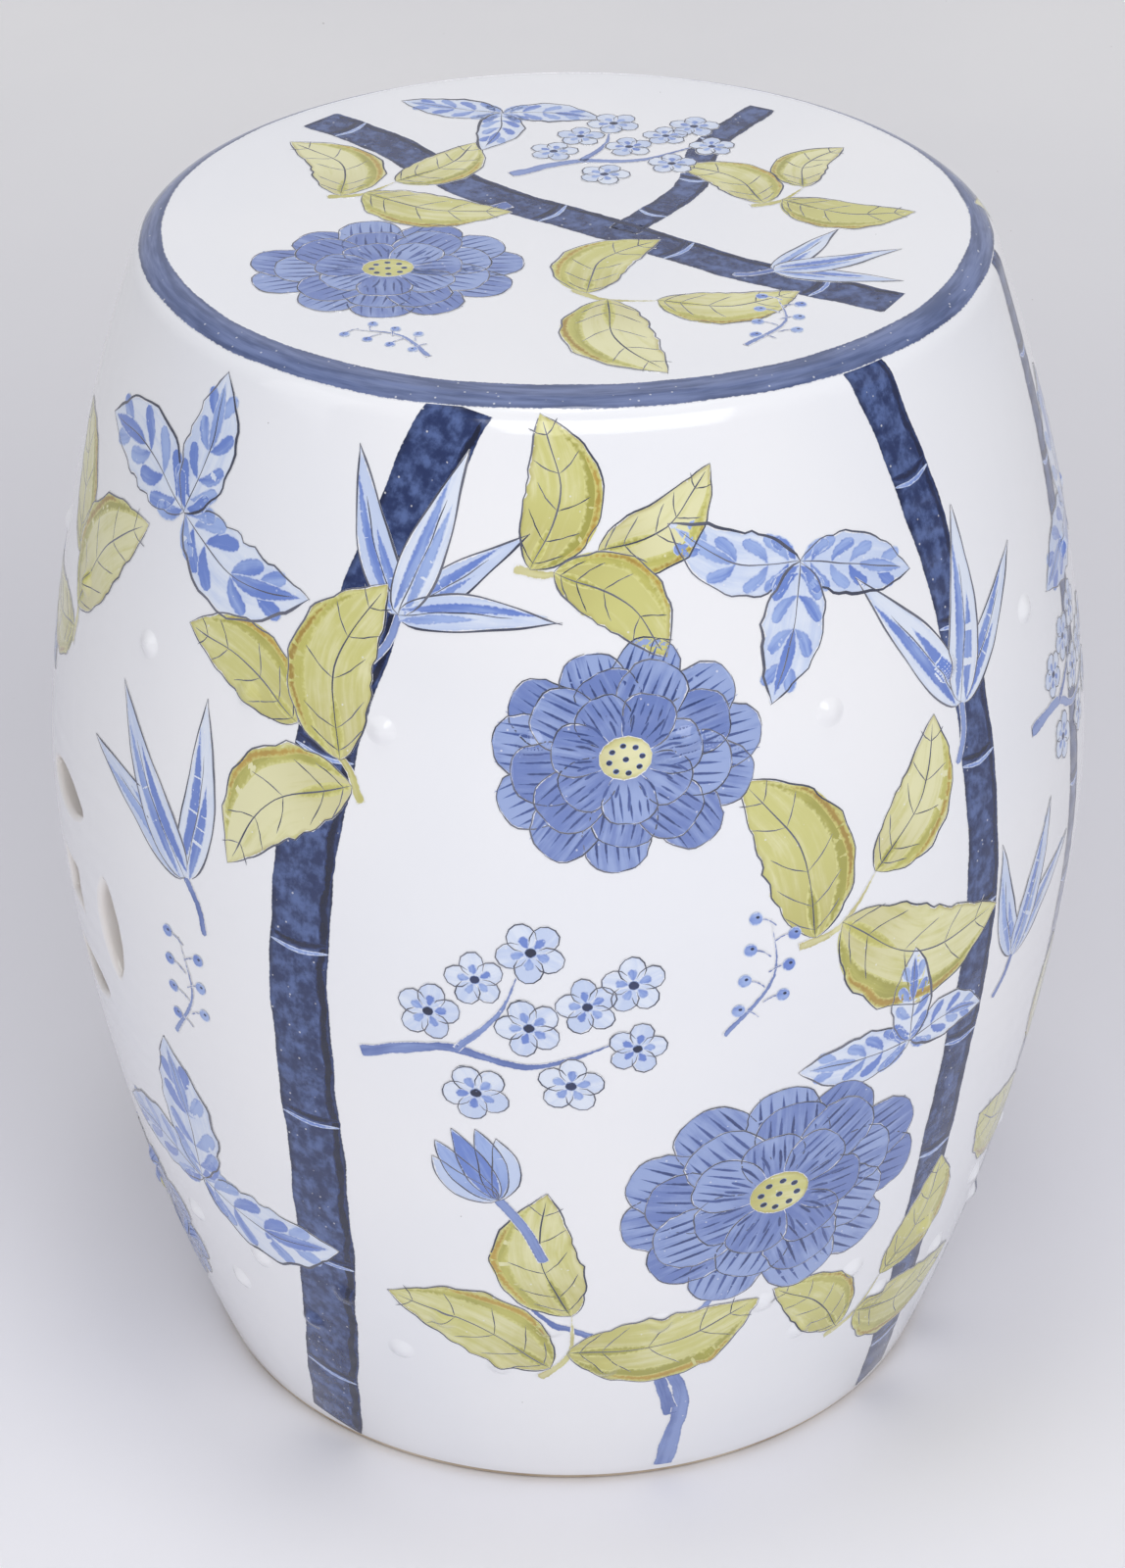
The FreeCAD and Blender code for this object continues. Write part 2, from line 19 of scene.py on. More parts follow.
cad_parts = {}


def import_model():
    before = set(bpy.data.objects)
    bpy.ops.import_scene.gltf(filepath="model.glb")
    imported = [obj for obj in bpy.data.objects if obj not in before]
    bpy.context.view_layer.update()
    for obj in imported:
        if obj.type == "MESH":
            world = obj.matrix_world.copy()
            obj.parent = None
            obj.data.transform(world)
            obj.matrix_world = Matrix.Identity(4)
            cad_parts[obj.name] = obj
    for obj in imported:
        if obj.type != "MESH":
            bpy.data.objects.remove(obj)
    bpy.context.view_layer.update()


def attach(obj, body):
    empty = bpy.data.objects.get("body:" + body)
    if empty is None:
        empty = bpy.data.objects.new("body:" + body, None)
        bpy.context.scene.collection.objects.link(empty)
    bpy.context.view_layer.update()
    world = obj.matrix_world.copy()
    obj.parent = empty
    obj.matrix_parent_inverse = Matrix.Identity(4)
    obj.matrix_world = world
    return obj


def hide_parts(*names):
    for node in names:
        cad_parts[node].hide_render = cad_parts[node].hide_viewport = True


LOG = logging.getLogger("garden_stool")
Array = np.ndarray
Colour = tuple[float, float, float, float]
Screen = tuple[int, int, int]
Socket = bpy.types.NodeSocket
Node = bpy.types.Node
Piece = bpy.types.Object
Material = bpy.types.Material
Input = Union[float, Colour, Socket]
Points = Sequence[Sequence[float]]

MM = 0.001
WELD = 2e-6
FULL_TURN = 2 * math.pi
BODY = "root"
# the camera's angle round the barrel, from which the painting's degrees are counted
VIEW_TURN = math.radians(-108.4)
# how high paint stands over a stud, as a share of the stud's own height
DRAPE = 1.14
# the colour sockets of a Mix node, whose names its other sockets have too
MIX_FIRST, MIX_SECOND, MIX_RESULT = 6, 7, 2


def srgb(red: int, green: int, blue: int) -> Colour:
    """A colour given as it looks on screen, 0 to 255, as linear light with full alpha.

    The screen's curve is a straight line near black and a power of 2.4 above it.
    """
    share = np.array([red, green, blue]) / 255.0
    linear = np.where(share <= 0.04045, share / 12.92, ((share + 0.055) / 1.055) ** 2.4)
    return (*[float(value) for value in linear], 1.0)


def smooth(value: Array, low: float, high: float) -> Array:
    """0 below low, 1 above high, and a soft S between them."""
    share = np.clip((value - low) / (high - low), 0.0, 1.0)
    return share * share * (3.0 - 2.0 * share)


# shape of the barrel


@dataclass(frozen=True)
class BarrelSection:
    """Section of the barrel through its axis: four tangent arcs for the wall, then a rounded edge and a flat top."""

    height: float = 455 * MM
    belly_radius: float = 194.3 * MM
    belly_height: float = 246 * MM
    belly_arc: float = 305 * MM
    belly_angle: float = math.radians(6)
    foot_radius: float = 141 * MM
    shoulder_radius: float = 157.3 * MM
    wall: float = 11 * MM
    seat_thickness: float = 16 * MM
    seat_step: float = 4 * MM
    edge_radius: float = 13 * MM
    steps: int = 600
    edge_steps: int = 40

    @property
    def shoulder_height(self) -> float:
        """Height at which the seat slab lies on the wall."""
        return self.height - self.seat_thickness

    @property
    def bend_radius(self) -> float:
        """Radius of the wall where the belly's tight arc ends."""
        return self.belly_radius - self.belly_arc * (1 - math.cos(self.belly_angle))

    @property
    def low_bend(self) -> float:
        """Height of the lower end of the belly's arc."""
        return self.belly_height - self.belly_arc * math.sin(self.belly_angle)

    @property
    def high_bend(self) -> float:
        """Height of the upper end of the belly's arc."""
        return self.belly_height + self.belly_arc * math.sin(self.belly_angle)

    def long_arc(self, end_radius: float, rise: float) -> float:
        """Radius of the arc that leaves the belly's arc tangentially and passes through the wall's end.

        Args:
            end_radius: radius of the wall at its foot or shoulder.
            rise: height between that end and the end of the belly's arc.
        Returns:
            The arc's radius.
        """
        inward = self.bend_radius - end_radius
        across = inward * math.cos(self.belly_angle) - rise * math.sin(self.belly_angle)
        return (inward ** 2 + rise ** 2) / (2 * across)

    @cached_property
    def low_arc(self) -> float:
        """Radius of the long arc from the belly to the foot."""
        return self.long_arc(self.foot_radius, self.low_bend)

    @cached_property
    def high_arc(self) -> float:
        """Radius of the long arc from the belly to the shoulder."""
        return self.long_arc(self.shoulder_radius, self.shoulder_height - self.high_bend)

    def radius(self, height: Array, inset: float = 0.0) -> Array:
        """Radius of the wall: centre of the arc that holds that height plus its reach at that height.

        Args:
            height: heights above the floor.
            inset: how far inside the outer face, square to it.
        Returns:
            The radii.
        """
        height = np.asarray(height, float)
        cosine, sine = math.cos(self.belly_angle), math.sin(self.belly_angle)
        low_x, low_z = self.bend_radius - self.low_arc * cosine, self.low_bend + self.low_arc * sine
        high_x, high_z = self.bend_radius - self.high_arc * cosine, self.high_bend - self.high_arc * sine
        centres = ((self.low_arc, low_z), (self.belly_arc, self.belly_height), (self.high_arc, high_z))
        reach = [np.sqrt(np.maximum((arc - inset) ** 2 - (height - centre) ** 2, 0.0))
                 for arc, centre in centres]
        belly_x = self.belly_radius - self.belly_arc
        return np.where(height < self.low_bend, low_x + reach[0],
                        np.where(height > self.high_bend, high_x + reach[2], belly_x + reach[1]))

    @cached_property
    def lean(self) -> float:
        """Lean of the wall from upright at the shoulder."""
        high_z = self.high_bend - self.high_arc * math.sin(self.belly_angle)
        return math.asin((self.shoulder_height - high_z) / self.high_arc)

    @cached_property
    def edge_end_height(self) -> float:
        """Height at which the seat's rounded edge meets its leaning side."""
        return self.height - self.edge_radius * (1 - math.sin(self.lean))

    @cached_property
    def edge_end_radius(self) -> float:
        """Radius at which the seat's rounded edge meets its leaning side."""
        return self.shoulder_radius - math.tan(self.lean) * (self.edge_end_height - self.shoulder_height)

    @cached_property
    def flat_radius(self) -> float:
        """Radius of the seat's flat top."""
        return self.edge_end_radius - self.edge_radius * math.cos(self.lean)

    @cached_property
    def outline(self) -> Array:
        """Rows of way, radius, height and outward normal (radial, upward).

        The way runs from the axis over the rounded edge and down the side to the floor.
        """
        quarter = np.linspace(math.pi / 2, self.lean, self.edge_steps)[1:]
        edge_r = self.flat_radius + self.edge_radius * np.cos(quarter)
        edge_z = self.height - self.edge_radius * (1 - np.sin(quarter))
        side_z = np.linspace(self.edge_end_height, 0.0, self.steps)[1:]
        straight = self.shoulder_radius - math.tan(self.lean) * (side_z - self.shoulder_height)
        side_r = np.where(side_z > self.shoulder_height, straight, self.radius(side_z))
        radius = np.concatenate([[0.0, self.flat_radius], edge_r, side_r])
        height = np.concatenate([[self.height, self.height], edge_z, side_z])
        way = np.concatenate([[0.0], np.cumsum(np.hypot(np.diff(radius), np.diff(height)))])
        slope_r, slope_z = np.gradient(radius, way), np.gradient(height, way)
        slope_r[0], slope_z[0], slope_r[1], slope_z[1] = 1.0, 0.0, 1.0, 0.0
        length = np.hypot(slope_r, slope_z)
        return np.stack([way, radius, height, -slope_z / length, slope_r / length])

    def way_at(self, height: Array) -> Array:
        """How far along the outline a height on the side lies."""
        way, _, heights, _, _ = self.outline
        return np.interp(-np.asarray(height, float), -heights[1:], way[1:])

    def along(self, way: Array) -> tuple[Array, Array, Array, Array]:
        """Radius, height and outward normal (radial, upward) at distances along the outline."""
        table = self.outline
        return tuple(np.interp(way, table[0], row) for row in table[1:])


@dataclass(frozen=True)
class Skin:
    """The glazed outside of the barrel, a little uneven as thrown clay is."""

    section: BarrelSection = field(default_factory=BarrelSection)
    swell: float = 0.28 * MM
    rings: float = 0.045 * MM
    settle: float = 0.30 * MM

    def unevenness(self, place: Array) -> Array:
        """Slow swells as sines of the place, plus faint throwing rings as a wavering sine of the height."""
        x, y, z = place[..., 0], place[..., 1], place[..., 2]
        slow = np.sin(17 * x + 9 * z + 0.4) * np.cos(15 * y - 7 * z + 1.1)
        slow = slow + 0.6 * np.sin(31 * y + 23 * x + 2.0 + 11 * z)
        wall = smooth(self.section.shoulder_height - z, 0.0, 30 * MM)
        ring = np.sin(610 * z + 2.0 * np.sin(9 * x + 7 * y)) * wall
        return self.swell * slow * 0.6 + self.rings * ring - self.settle

    def place(self, turn: Array, way: Array, lift: Array = 0.0) -> Array:
        """Points on the skin: out along the radius and up to the outline's height, then lifted along the normal.

        Args:
            turn: angles round the axis.
            way: distances along the outline, from the middle of the seat outwards and down.
            lift: how far above the glaze.
        Returns:
            An array of points, one more axis than the inputs.
        """
        turn, way, lift = np.broadcast_arrays(*(np.asarray(given, float) for given in (turn, way, lift)))
        radius, height, out, up = self.section.along(way)
        side = np.stack([np.cos(turn), np.sin(turn)], -1)
        base = np.concatenate([side * radius[..., None], height[..., None]], -1)
        normal = np.concatenate([side * out[..., None], up[..., None]], -1)
        return base + normal * (self.unevenness(base) + lift)[..., None]


# meshes


class Shell:
    """Gathers grids of points into one mesh, with named numbers for every point."""

    def __init__(self, name: str, numbers: Sequence[str] = ()) -> None:
        """Start an empty mesh with the names of its per-point numbers."""
        self.name = name
        self.numbers: dict[str, list[Array]] = {number: [] for number in numbers}
        self.points: list[Array] = []
        self.faces: list[Array] = []
        self.maps: list[Array] = []
        self.normals: list[Array] = []
        self.worn: list[Array] = []
        self.materials: list[Material] = []
        self.material = 0
        self.count = 0

    def wear(self, material: Material) -> None:
        """Dress the faces that are added from here on in a material."""
        if material not in self.materials:
            self.materials.append(material)
        self.material = self.materials.index(material)

    def add_faces(self, faces: Array) -> None:
        """Keep faces with the material of the moment."""
        self.faces.append(faces)
        self.worn.append(np.full(len(faces), self.material))

    def add_points(self, points: Array, mapping: Union[Array, None] = None, normals: Union[Array, None] = None,
                   **numbers: Union[float, Array]) -> Array:
        """Add points and return their indices in the shape of the grid they came in."""
        shape = points.shape[:-1]
        size = int(np.prod(shape))
        indices = np.arange(self.count, self.count + size).reshape(shape)
        self.points.append(points.reshape(-1, 3))
        self.maps.append(np.zeros((size, 2)) if mapping is None else mapping.reshape(-1, 2))
        self.normals.append(np.zeros((size, 3)) if normals is None else normals.reshape(-1, 3))
        for number, rows in self.numbers.items():
            rows.append(np.broadcast_to(np.asarray(numbers.get(number, 0.0), float), shape).reshape(-1))
        self.count += size
        return indices

    def add_grid(self, points: Array, flip: bool = False, mapping: Union[Array, None] = None,
                 normals: Union[Array, None] = None, **numbers: Union[float, Array]) -> Array:
        """Add a grid of points and the quads between them.

        Args:
            points: rows by columns by 3; seen from outside, rows run down and columns to the right.
            flip: turn the faces round.
            mapping: rows by columns by 2, the painter's coordinates.
            normals: rows by columns by 3, the way each point should be shaded; left to the faces if not given.
            numbers: the named numbers, one for all points or one each.
        Returns:
            The indices of the points, rows by columns.
        """
        index = self.add_points(points, mapping, normals, **numbers)
        self.join(index, flip)
        return index

    def join(self, index: Array, flip: bool = False) -> None:
        """Put quads between the rows and columns of a grid of indices."""
        quads = np.stack([index[:-1, :-1], index[1:, :-1], index[1:, 1:], index[:-1, 1:]], -1).reshape(-1, 4)
        self.add_faces(quads[:, ::-1] if flip else quads)

    def fan(self, rim: Array, middle: int) -> None:
        """Close a rim of indices with triangles to one middle point, which the build turns into short quads."""
        around = np.roll(rim, -1)
        self.add_faces(np.stack([rim, around, np.full_like(rim, middle), np.full_like(rim, middle)], -1))

    @staticmethod
    def wrapped(cells: int) -> Array:
        """Columns of a closed ribbon: its top from side to side, then both sides again for its underside."""
        return np.r_[0:cells + 1, cells, 0, 0]

    def cap(self, index: Array) -> None:
        """Close both ends of a wrapped ribbon with quads from its first half to its second."""
        for row, flip in ((index[0], True), (index[-1], False)):
            ring = row[:-1]
            half = (len(ring) + 1) // 2
            self.join(np.stack([ring[:half], ring[::-1][:half]]), flip)
    def build(self, weld: float = 0.0) -> Piece:
        """Weld the points that fall together and make the object.

        Args:
            weld: the grid that points are rounded to when they are compared; 0 leaves them apart.
        Returns:
            The object, at the origin, with smooth faces.
        """
        points, faces = np.concatenate(self.points), np.concatenate(self.faces)
        maps = np.concatenate(self.maps)
        keep = np.arange(len(points))
        if weld:
            _, keep, inverse = np.unique(np.round(points / weld).astype(np.int64), axis=0, return_index=True,
                                         return_inverse=True)
            faces = inverse.reshape(-1)[faces]
        rows = [list(dict.fromkeys(face)) for face in faces.tolist()]
        whole = np.array([len(row) > 2 for row in rows])
        mesh = bpy.data.meshes.new(self.name)
        mesh.from_pydata(points[keep].tolist(), [], [row for row in rows if len(row) > 2])
        mesh.polygons.foreach_set("material_index", np.concatenate(self.worn)[whole].astype(np.int32))
        mesh.polygons.foreach_set("use_smooth", np.ones(len(mesh.polygons), bool))
        for number, values in self.numbers.items():
            layer = mesh.attributes.new(number, "FLOAT", "POINT")
            layer.data.foreach_set("value", np.concatenate(values)[keep].astype(np.float32))
        if maps.any():
            corners = np.zeros(len(mesh.loops), np.int32)
            mesh.loops.foreach_get("vertex_index", corners)
            layer = mesh.uv_layers.new(name="Paint")
            layer.data.foreach_set("uv", maps[keep][corners].astype(np.float32).reshape(-1))
        for material in self.materials:
            mesh.materials.append(material)
        mesh.update()
        normals = np.concatenate(self.normals)[keep]
        if normals.any():
            mesh.normals_split_custom_set_from_vertices(normals.tolist())
        piece = bpy.data.objects.new(self.name, mesh)
        bpy.context.scene.collection.objects.link(piece)
        LOG.info("%s: %d faces", self.name, len(mesh.polygons))
        return piece


# finishes


class Tree:
    """A node tree being written: adds nodes, sets or links their inputs, and returns sockets."""

    def __init__(self, tree: bpy.types.NodeTree) -> None:
        """Start on an empty tree."""
        self.tree = tree
        self.tree.nodes.clear()

    def node(self, kind: str, **settings: object) -> Node:
        """Add one node and set its properties."""
        node = self.tree.nodes.new(kind)
        for name, value in settings.items():
            setattr(node, name, value)
        return node

    def feed(self, socket: Socket, value: Input) -> None:
        """Link a socket to an input, or set its own value."""
        if isinstance(value, Socket):
            self.tree.links.new(value, socket)
        else:
            socket.default_value = value

    def maths(self, operation: str, first: Input, second: Input = 0.0) -> Socket:
        """One step of arithmetic."""
        node = self.node("ShaderNodeMath", operation=operation)
        self.feed(node.inputs[0], first)
        self.feed(node.inputs[1], second)
        return node.outputs[0]

    def spread(self, value: Input, low: float, high: float, to_low: float = 0.0,
               to_high: float = 1.0) -> Socket:
        """Map a range softly onto another one, clamped."""
        node = self.node("ShaderNodeMapRange", interpolation_type="SMOOTHSTEP")
        for place, number in enumerate((value, low, high, to_low, to_high)):
            self.feed(node.inputs[place], number)
        return node.outputs[0]

    def blend(self, share: Input, first: Input, second: Input) -> Socket:
        """Mix two colours."""
        node = self.node("ShaderNodeMix", data_type="RGBA")
        self.feed(node.inputs["Factor"], share)
        self.feed(node.inputs[MIX_FIRST], first)
        self.feed(node.inputs[MIX_SECOND], second)
        return node.outputs[MIX_RESULT]

    def bump(self, shader: Node, height: Input, strength: float, distance: float) -> None:
        """Give a shader's surface a relief."""
        node = self.node("ShaderNodeBump")
        node.inputs["Strength"].default_value = strength
        node.inputs["Distance"].default_value = distance
        self.feed(node.inputs["Height"], height)
        self.feed(shader.inputs["Normal"], node.outputs[0])

    def noise(self, where: Input, scale: float, detail: float = 2.0, roughness: float = 0.5) -> Socket:
        """Cloudy noise, 0 to 1."""
        node = self.node("ShaderNodeTexNoise")
        self.feed(node.inputs["Vector"], where)
        node.inputs["Scale"].default_value = scale
        node.inputs["Detail"].default_value = detail
        node.inputs["Roughness"].default_value = roughness
        return node.outputs["Fac"]

    def stretch(self, where: Input, scale: tuple[float, float, float]) -> Socket:
        """Coordinates stretched along their axes."""
        node = self.node("ShaderNodeMapping")
        self.feed(node.inputs["Vector"], where)
        node.inputs["Scale"].default_value = scale
        return node.outputs[0]

    def place(self) -> Socket:
        """Object coordinates: metres in the stool's own frame."""
        return self.node("ShaderNodeTexCoord").outputs["Object"]

    def paint_map(self) -> Socket:
        """The painter's coordinates: decimetres along and across a stroke."""
        return self.node("ShaderNodeUVMap", uv_map="Paint").outputs[0]

    def number(self, name: str) -> Socket:
        """A number that the mesh holds for every point."""
        return self.node("ShaderNodeAttribute", attribute_name=name).outputs["Fac"]

    def spots(self, where: Input, scale: float, size: float, share: float) -> Socket:
        """Scattered round spots: near the middle of a random share of the cells of a loose lattice.

        Args:
            where: coordinates.
            scale: cells per unit.
            size: radius of a spot in cells.
            share: share of the cells that hold one.
        Returns:
            1 in a spot and 0 elsewhere, with a soft edge.
        """
        cells = self.node("ShaderNodeTexVoronoi")
        self.feed(cells.inputs["Vector"], where)
        cells.inputs["Scale"].default_value = scale
        near = self.spread(cells.outputs["Distance"], size * 0.6, size, 1.0, 0.0)
        tone = self.node("ShaderNodeSeparateColor")
        self.feed(tone.inputs[0], cells.outputs["Color"])
        return self.maths("MULTIPLY", near, self.maths("LESS_THAN", tone.outputs[0], share))


class Finish:
    """A finish that is made once and shared by every piece that wears it."""

    made: dict[str, Material] = {}
    groups: dict[str, bpy.types.NodeTree] = {}

    @classmethod
    def shared(cls, name: str, write: Callable[[Tree, Node], None]) -> Material:
        """Return the named material, writing it the first time.

        Args:
            name: the material's name.
            write: called with the tree and its Principled node to finish it.
        Returns:
            The material.
        """
        if name not in cls.made:
            material = bpy.data.materials.new(name)
            material.use_nodes = True
            tree = Tree(material.node_tree)
            shader = tree.node("ShaderNodeBsdfPrincipled")
            output = tree.node("ShaderNodeOutputMaterial")
            tree.feed(output.inputs["Surface"], shader.outputs[0])
            write(tree, shader)
            cls.made[name] = material
        return cls.made[name]

    @classmethod
    def group(cls, tree: Tree, name: str, outputs: Sequence[tuple[str, str]],
              write: Callable[[Tree], dict[str, Socket]]) -> dict[str, Socket]:
        """Put a shared node group into a tree and return its outputs by name."""
        if name not in cls.groups:
            held = bpy.data.node_groups.new(name, "ShaderNodeTree")
            for title, kind in outputs:
                held.interface.new_socket(title, in_out="OUTPUT", socket_type=kind)
            inner = Tree(held)
            end = inner.node("NodeGroupOutput")
            for title, socket in write(inner).items():
                inner.feed(end.inputs[title], socket)
            cls.groups[name] = held
        node = tree.node("ShaderNodeGroup", node_tree=cls.groups[name])
        return {title: node.outputs[title] for title, _ in outputs}


Specks = tuple[float, float, float]


@dataclass(frozen=True)
class Glaze(Finish):
    """Glossy cool white glaze with a few dark specks and the faint waviness of an orange's skin.

    Scales are waves per metre. Specks are cells per metre, a speck's radius in cells and the share of
    cells that hold one.
    """

    white: Colour = srgb(243, 243, 246)
    shade: Colour = srgb(238, 239, 244)
    tint_scale: float = 7.0
    speck: Colour = srgb(128, 122, 120)
    speck_strength: float = 0.7
    large_specks: Specks = (60.0, 0.024, 0.10)
    small_specks: Specks = (150.0, 0.045, 0.035)
    fine_scale: float = 120.0
    fine_share: float = 0.25
    broad_scale: float = 26.0
    roughness: float = 0.11
    roughness_scale: float = 18.0
    coat: float = 0.25
    coat_roughness: float = 0.05
    index: float = 1.5
    relief: float = 0.10
    relief_depth: float = 0.4 * MM
    thin_tones: tuple[Colour, Colour] = (srgb(240, 235, 230), srgb(233, 224, 216))
    thin_scale: float = 90.0
    clay_tones: tuple[Colour, Colour] = (srgb(214, 204, 190), srgb(192, 180, 164))
    clay_scale: float = 60.0
    clay_roughness: float = 0.6

    def ground(self, tree: Tree) -> dict[str, Socket]:
        """The glaze's colour, roughness and relief, the same on every piece that lies in it."""
        outputs = (("Color", "NodeSocketColor"), ("Roughness", "NodeSocketFloat"), ("Height", "NodeSocketFloat"))
        return self.group(tree, "glaze_ground", outputs, self.write_ground)

    def write_ground(self, tree: Tree) -> dict[str, Socket]:
        """Slow tint changes, scattered specks, and relief from two noises."""
        where = tree.place()
        cloud = tree.noise(where, self.tint_scale)
        colour = tree.blend(tree.spread(cloud, 0.35, 0.7), self.white, self.shade)
        specks = tree.maths("MAXIMUM", tree.spots(where, *self.large_specks), tree.spots(where, *self.small_specks))
        colour = tree.blend(tree.maths("MULTIPLY", specks, self.speck_strength), colour, self.speck)
        fine = tree.noise(where, self.fine_scale)
        broad = tree.noise(where, self.broad_scale, 1.0)
        height = tree.maths("ADD", tree.maths("MULTIPLY", fine, self.fine_share), broad)
        smoother, rougher = self.roughness * 0.85, self.roughness * 1.25
        rough = tree.spread(tree.noise(where, self.roughness_scale), 0.3, 0.7, smoother, rougher)
        return {"Color": colour, "Roughness": rough, "Height": height}

    def dress(self, tree: Tree, shader: Node, colour: Input, ground: dict[str, Socket],
              rough: Union[Input, None] = None) -> None:
        """Give a shader the glaze's gloss over a colour."""
        tree.feed(shader.inputs["Base Color"], colour)
        tree.feed(shader.inputs["Roughness"], ground["Roughness"] if rough is None else rough)
        shader.inputs["IOR"].default_value = self.index
        shader.inputs["Coat Weight"].default_value = self.coat
        shader.inputs["Coat Roughness"].default_value = self.coat_roughness
        tree.bump(shader, ground["Height"], self.relief, self.relief_depth)

    def plain(self) -> Material:
        """The unpainted glaze, running thin over the cut edges and giving way to bare clay inside."""
        return self.shared("white_glaze", self.write_plain)

    def write_plain(self, tree: Tree, shader: Node) -> None:
        """White outside, cream where the glaze runs thin, and matt clay inside, by the mesh's own numbers."""
        ground = self.ground(tree)
        where = tree.place()
        thin, bare = tree.number("thin"), tree.number("bare")
        warm = tree.blend(tree.noise(where, self.thin_scale, 3.0), *self.thin_tones)
        clay = tree.blend(tree.noise(where, self.clay_scale, 4.0), *self.clay_tones)
        colour = tree.blend(thin, ground["Color"], warm)
        colour = tree.blend(bare, colour, clay)
        rough = tree.maths("ADD", ground["Roughness"], tree.maths("MULTIPLY", bare, self.clay_roughness))
        self.dress(tree, shader, colour, ground, rough)


@dataclass(frozen=True)
class Clay(Finish):
    """Bare fired clay: warm, matt and finely grained."""

    name: str = "bare_clay"
    pale: Colour = srgb(206, 192, 172)
    deep: Colour = srgb(166, 146, 122)
    blotch_scale: float = 35.0
    grain_scale: float = 900.0
    speck: Colour = srgb(98, 80, 66)
    specks: Specks = (260.0, 0.14, 0.25)
    roughness: tuple[float, float] = (0.72, 0.9)
    relief: float = 0.35
    relief_depth: float = 0.25 * MM

    def material(self) -> Material:
        """The clay's material."""
        return self.shared(self.name, self.write)

    def write(self, tree: Tree, shader: Node) -> None:
        """Blotches from a slow noise, grain from a fine one, and dark iron specks."""
        where = tree.place()
        tone = tree.spread(tree.noise(where, self.blotch_scale, 4.0), 0.3, 0.75)
        grain = tree.noise(where, self.grain_scale)
        colour = tree.blend(tone, self.pale, self.deep)
        colour = tree.blend(tree.spots(where, *self.specks), colour, self.speck)
        tree.feed(shader.inputs["Base Color"], colour)
        tree.feed(shader.inputs["Roughness"], tree.spread(grain, 0.2, 0.8, *self.roughness))
        tree.bump(shader, grain, self.relief, self.relief_depth)


# studs


@dataclass(frozen=True)
class StudRing:
    """A ring of low round studs under the glaze."""

    name: str
    height: float
    count: int
    phase: float
    radius: float = 6.4 * MM
    rise: float = 1.6 * MM
    sink: float = 0.12 * MM
    steps: int = 9
    columns: int = 24
    fullness: float = 1.15

    def turns(self) -> Array:
        """Angles of the studs round the barrel."""
        return math.radians(self.phase) + np.arange(self.count) * FULL_TURN / self.count

    def dome(self, reach: Array) -> Array:
        """Height of a stud at shares of its radius: a raised cosine, sunk a little at its rim."""
        fall = np.cos(math.pi * np.clip(reach, 0, 1) ** self.fullness)
        return (self.rise + self.sink) * (0.5 + 0.5 * fall) - self.sink

    def relief(self, section: BarrelSection, turn: Array, way: Array) -> Array:
        """Height of the nearest stud over the wall, from how far beside and above its middle each point is."""
        pitch = FULL_TURN / self.count
        beside = (np.mod(turn - math.radians(self.phase) + pitch / 2, pitch) - pitch / 2) * section.along(way)[0]
        reach = np.hypot(beside, way - section.way_at(self.height)) / self.radius
        return np.maximum(self.dome(reach), 0.0)

    def add_to(self, shell: Shell, skin: Skin) -> None:
        """Add the domes."""
        section = skin.section
        reach = np.linspace(0, 1, self.steps + 1)
        rise = self.dome(reach)
        around = np.linspace(0, FULL_TURN, self.columns + 1)
        away = (reach * self.radius)[:, None]
        across, upwards = away * np.cos(-around), away * np.sin(-around)
        ways = section.way_at(self.height) - upwards
        radius = section.along(ways)[0]
        for turn in self.turns():
            grid = skin.place(turn - across / radius, ways, rise[:, None])
            shell.add_grid(grid)


def studs_piece(name: str, rings: Sequence[StudRing], skin: Skin, material: Material) -> Piece:
    """Build the studs of one or more rings as one piece."""
    shell = Shell(name, ("thin", "bare"))
    shell.wear(material)
    for ring in rings:
        ring.add_to(shell, skin)
    return shell.build(weld=WELD)


UPPER_STUDS = StudRing("upper", 345 * MM, 22, 2.35)
SECOND_STUDS = StudRing("second", 94.5 * MM, 27, 9.3)
LOWEST_STUDS = StudRing("lowest", 71.5 * MM, 27, 9.3 + 180 / 27)
STUDS = (UPPER_STUDS, SECOND_STUDS, LOWEST_STUDS)


# painting


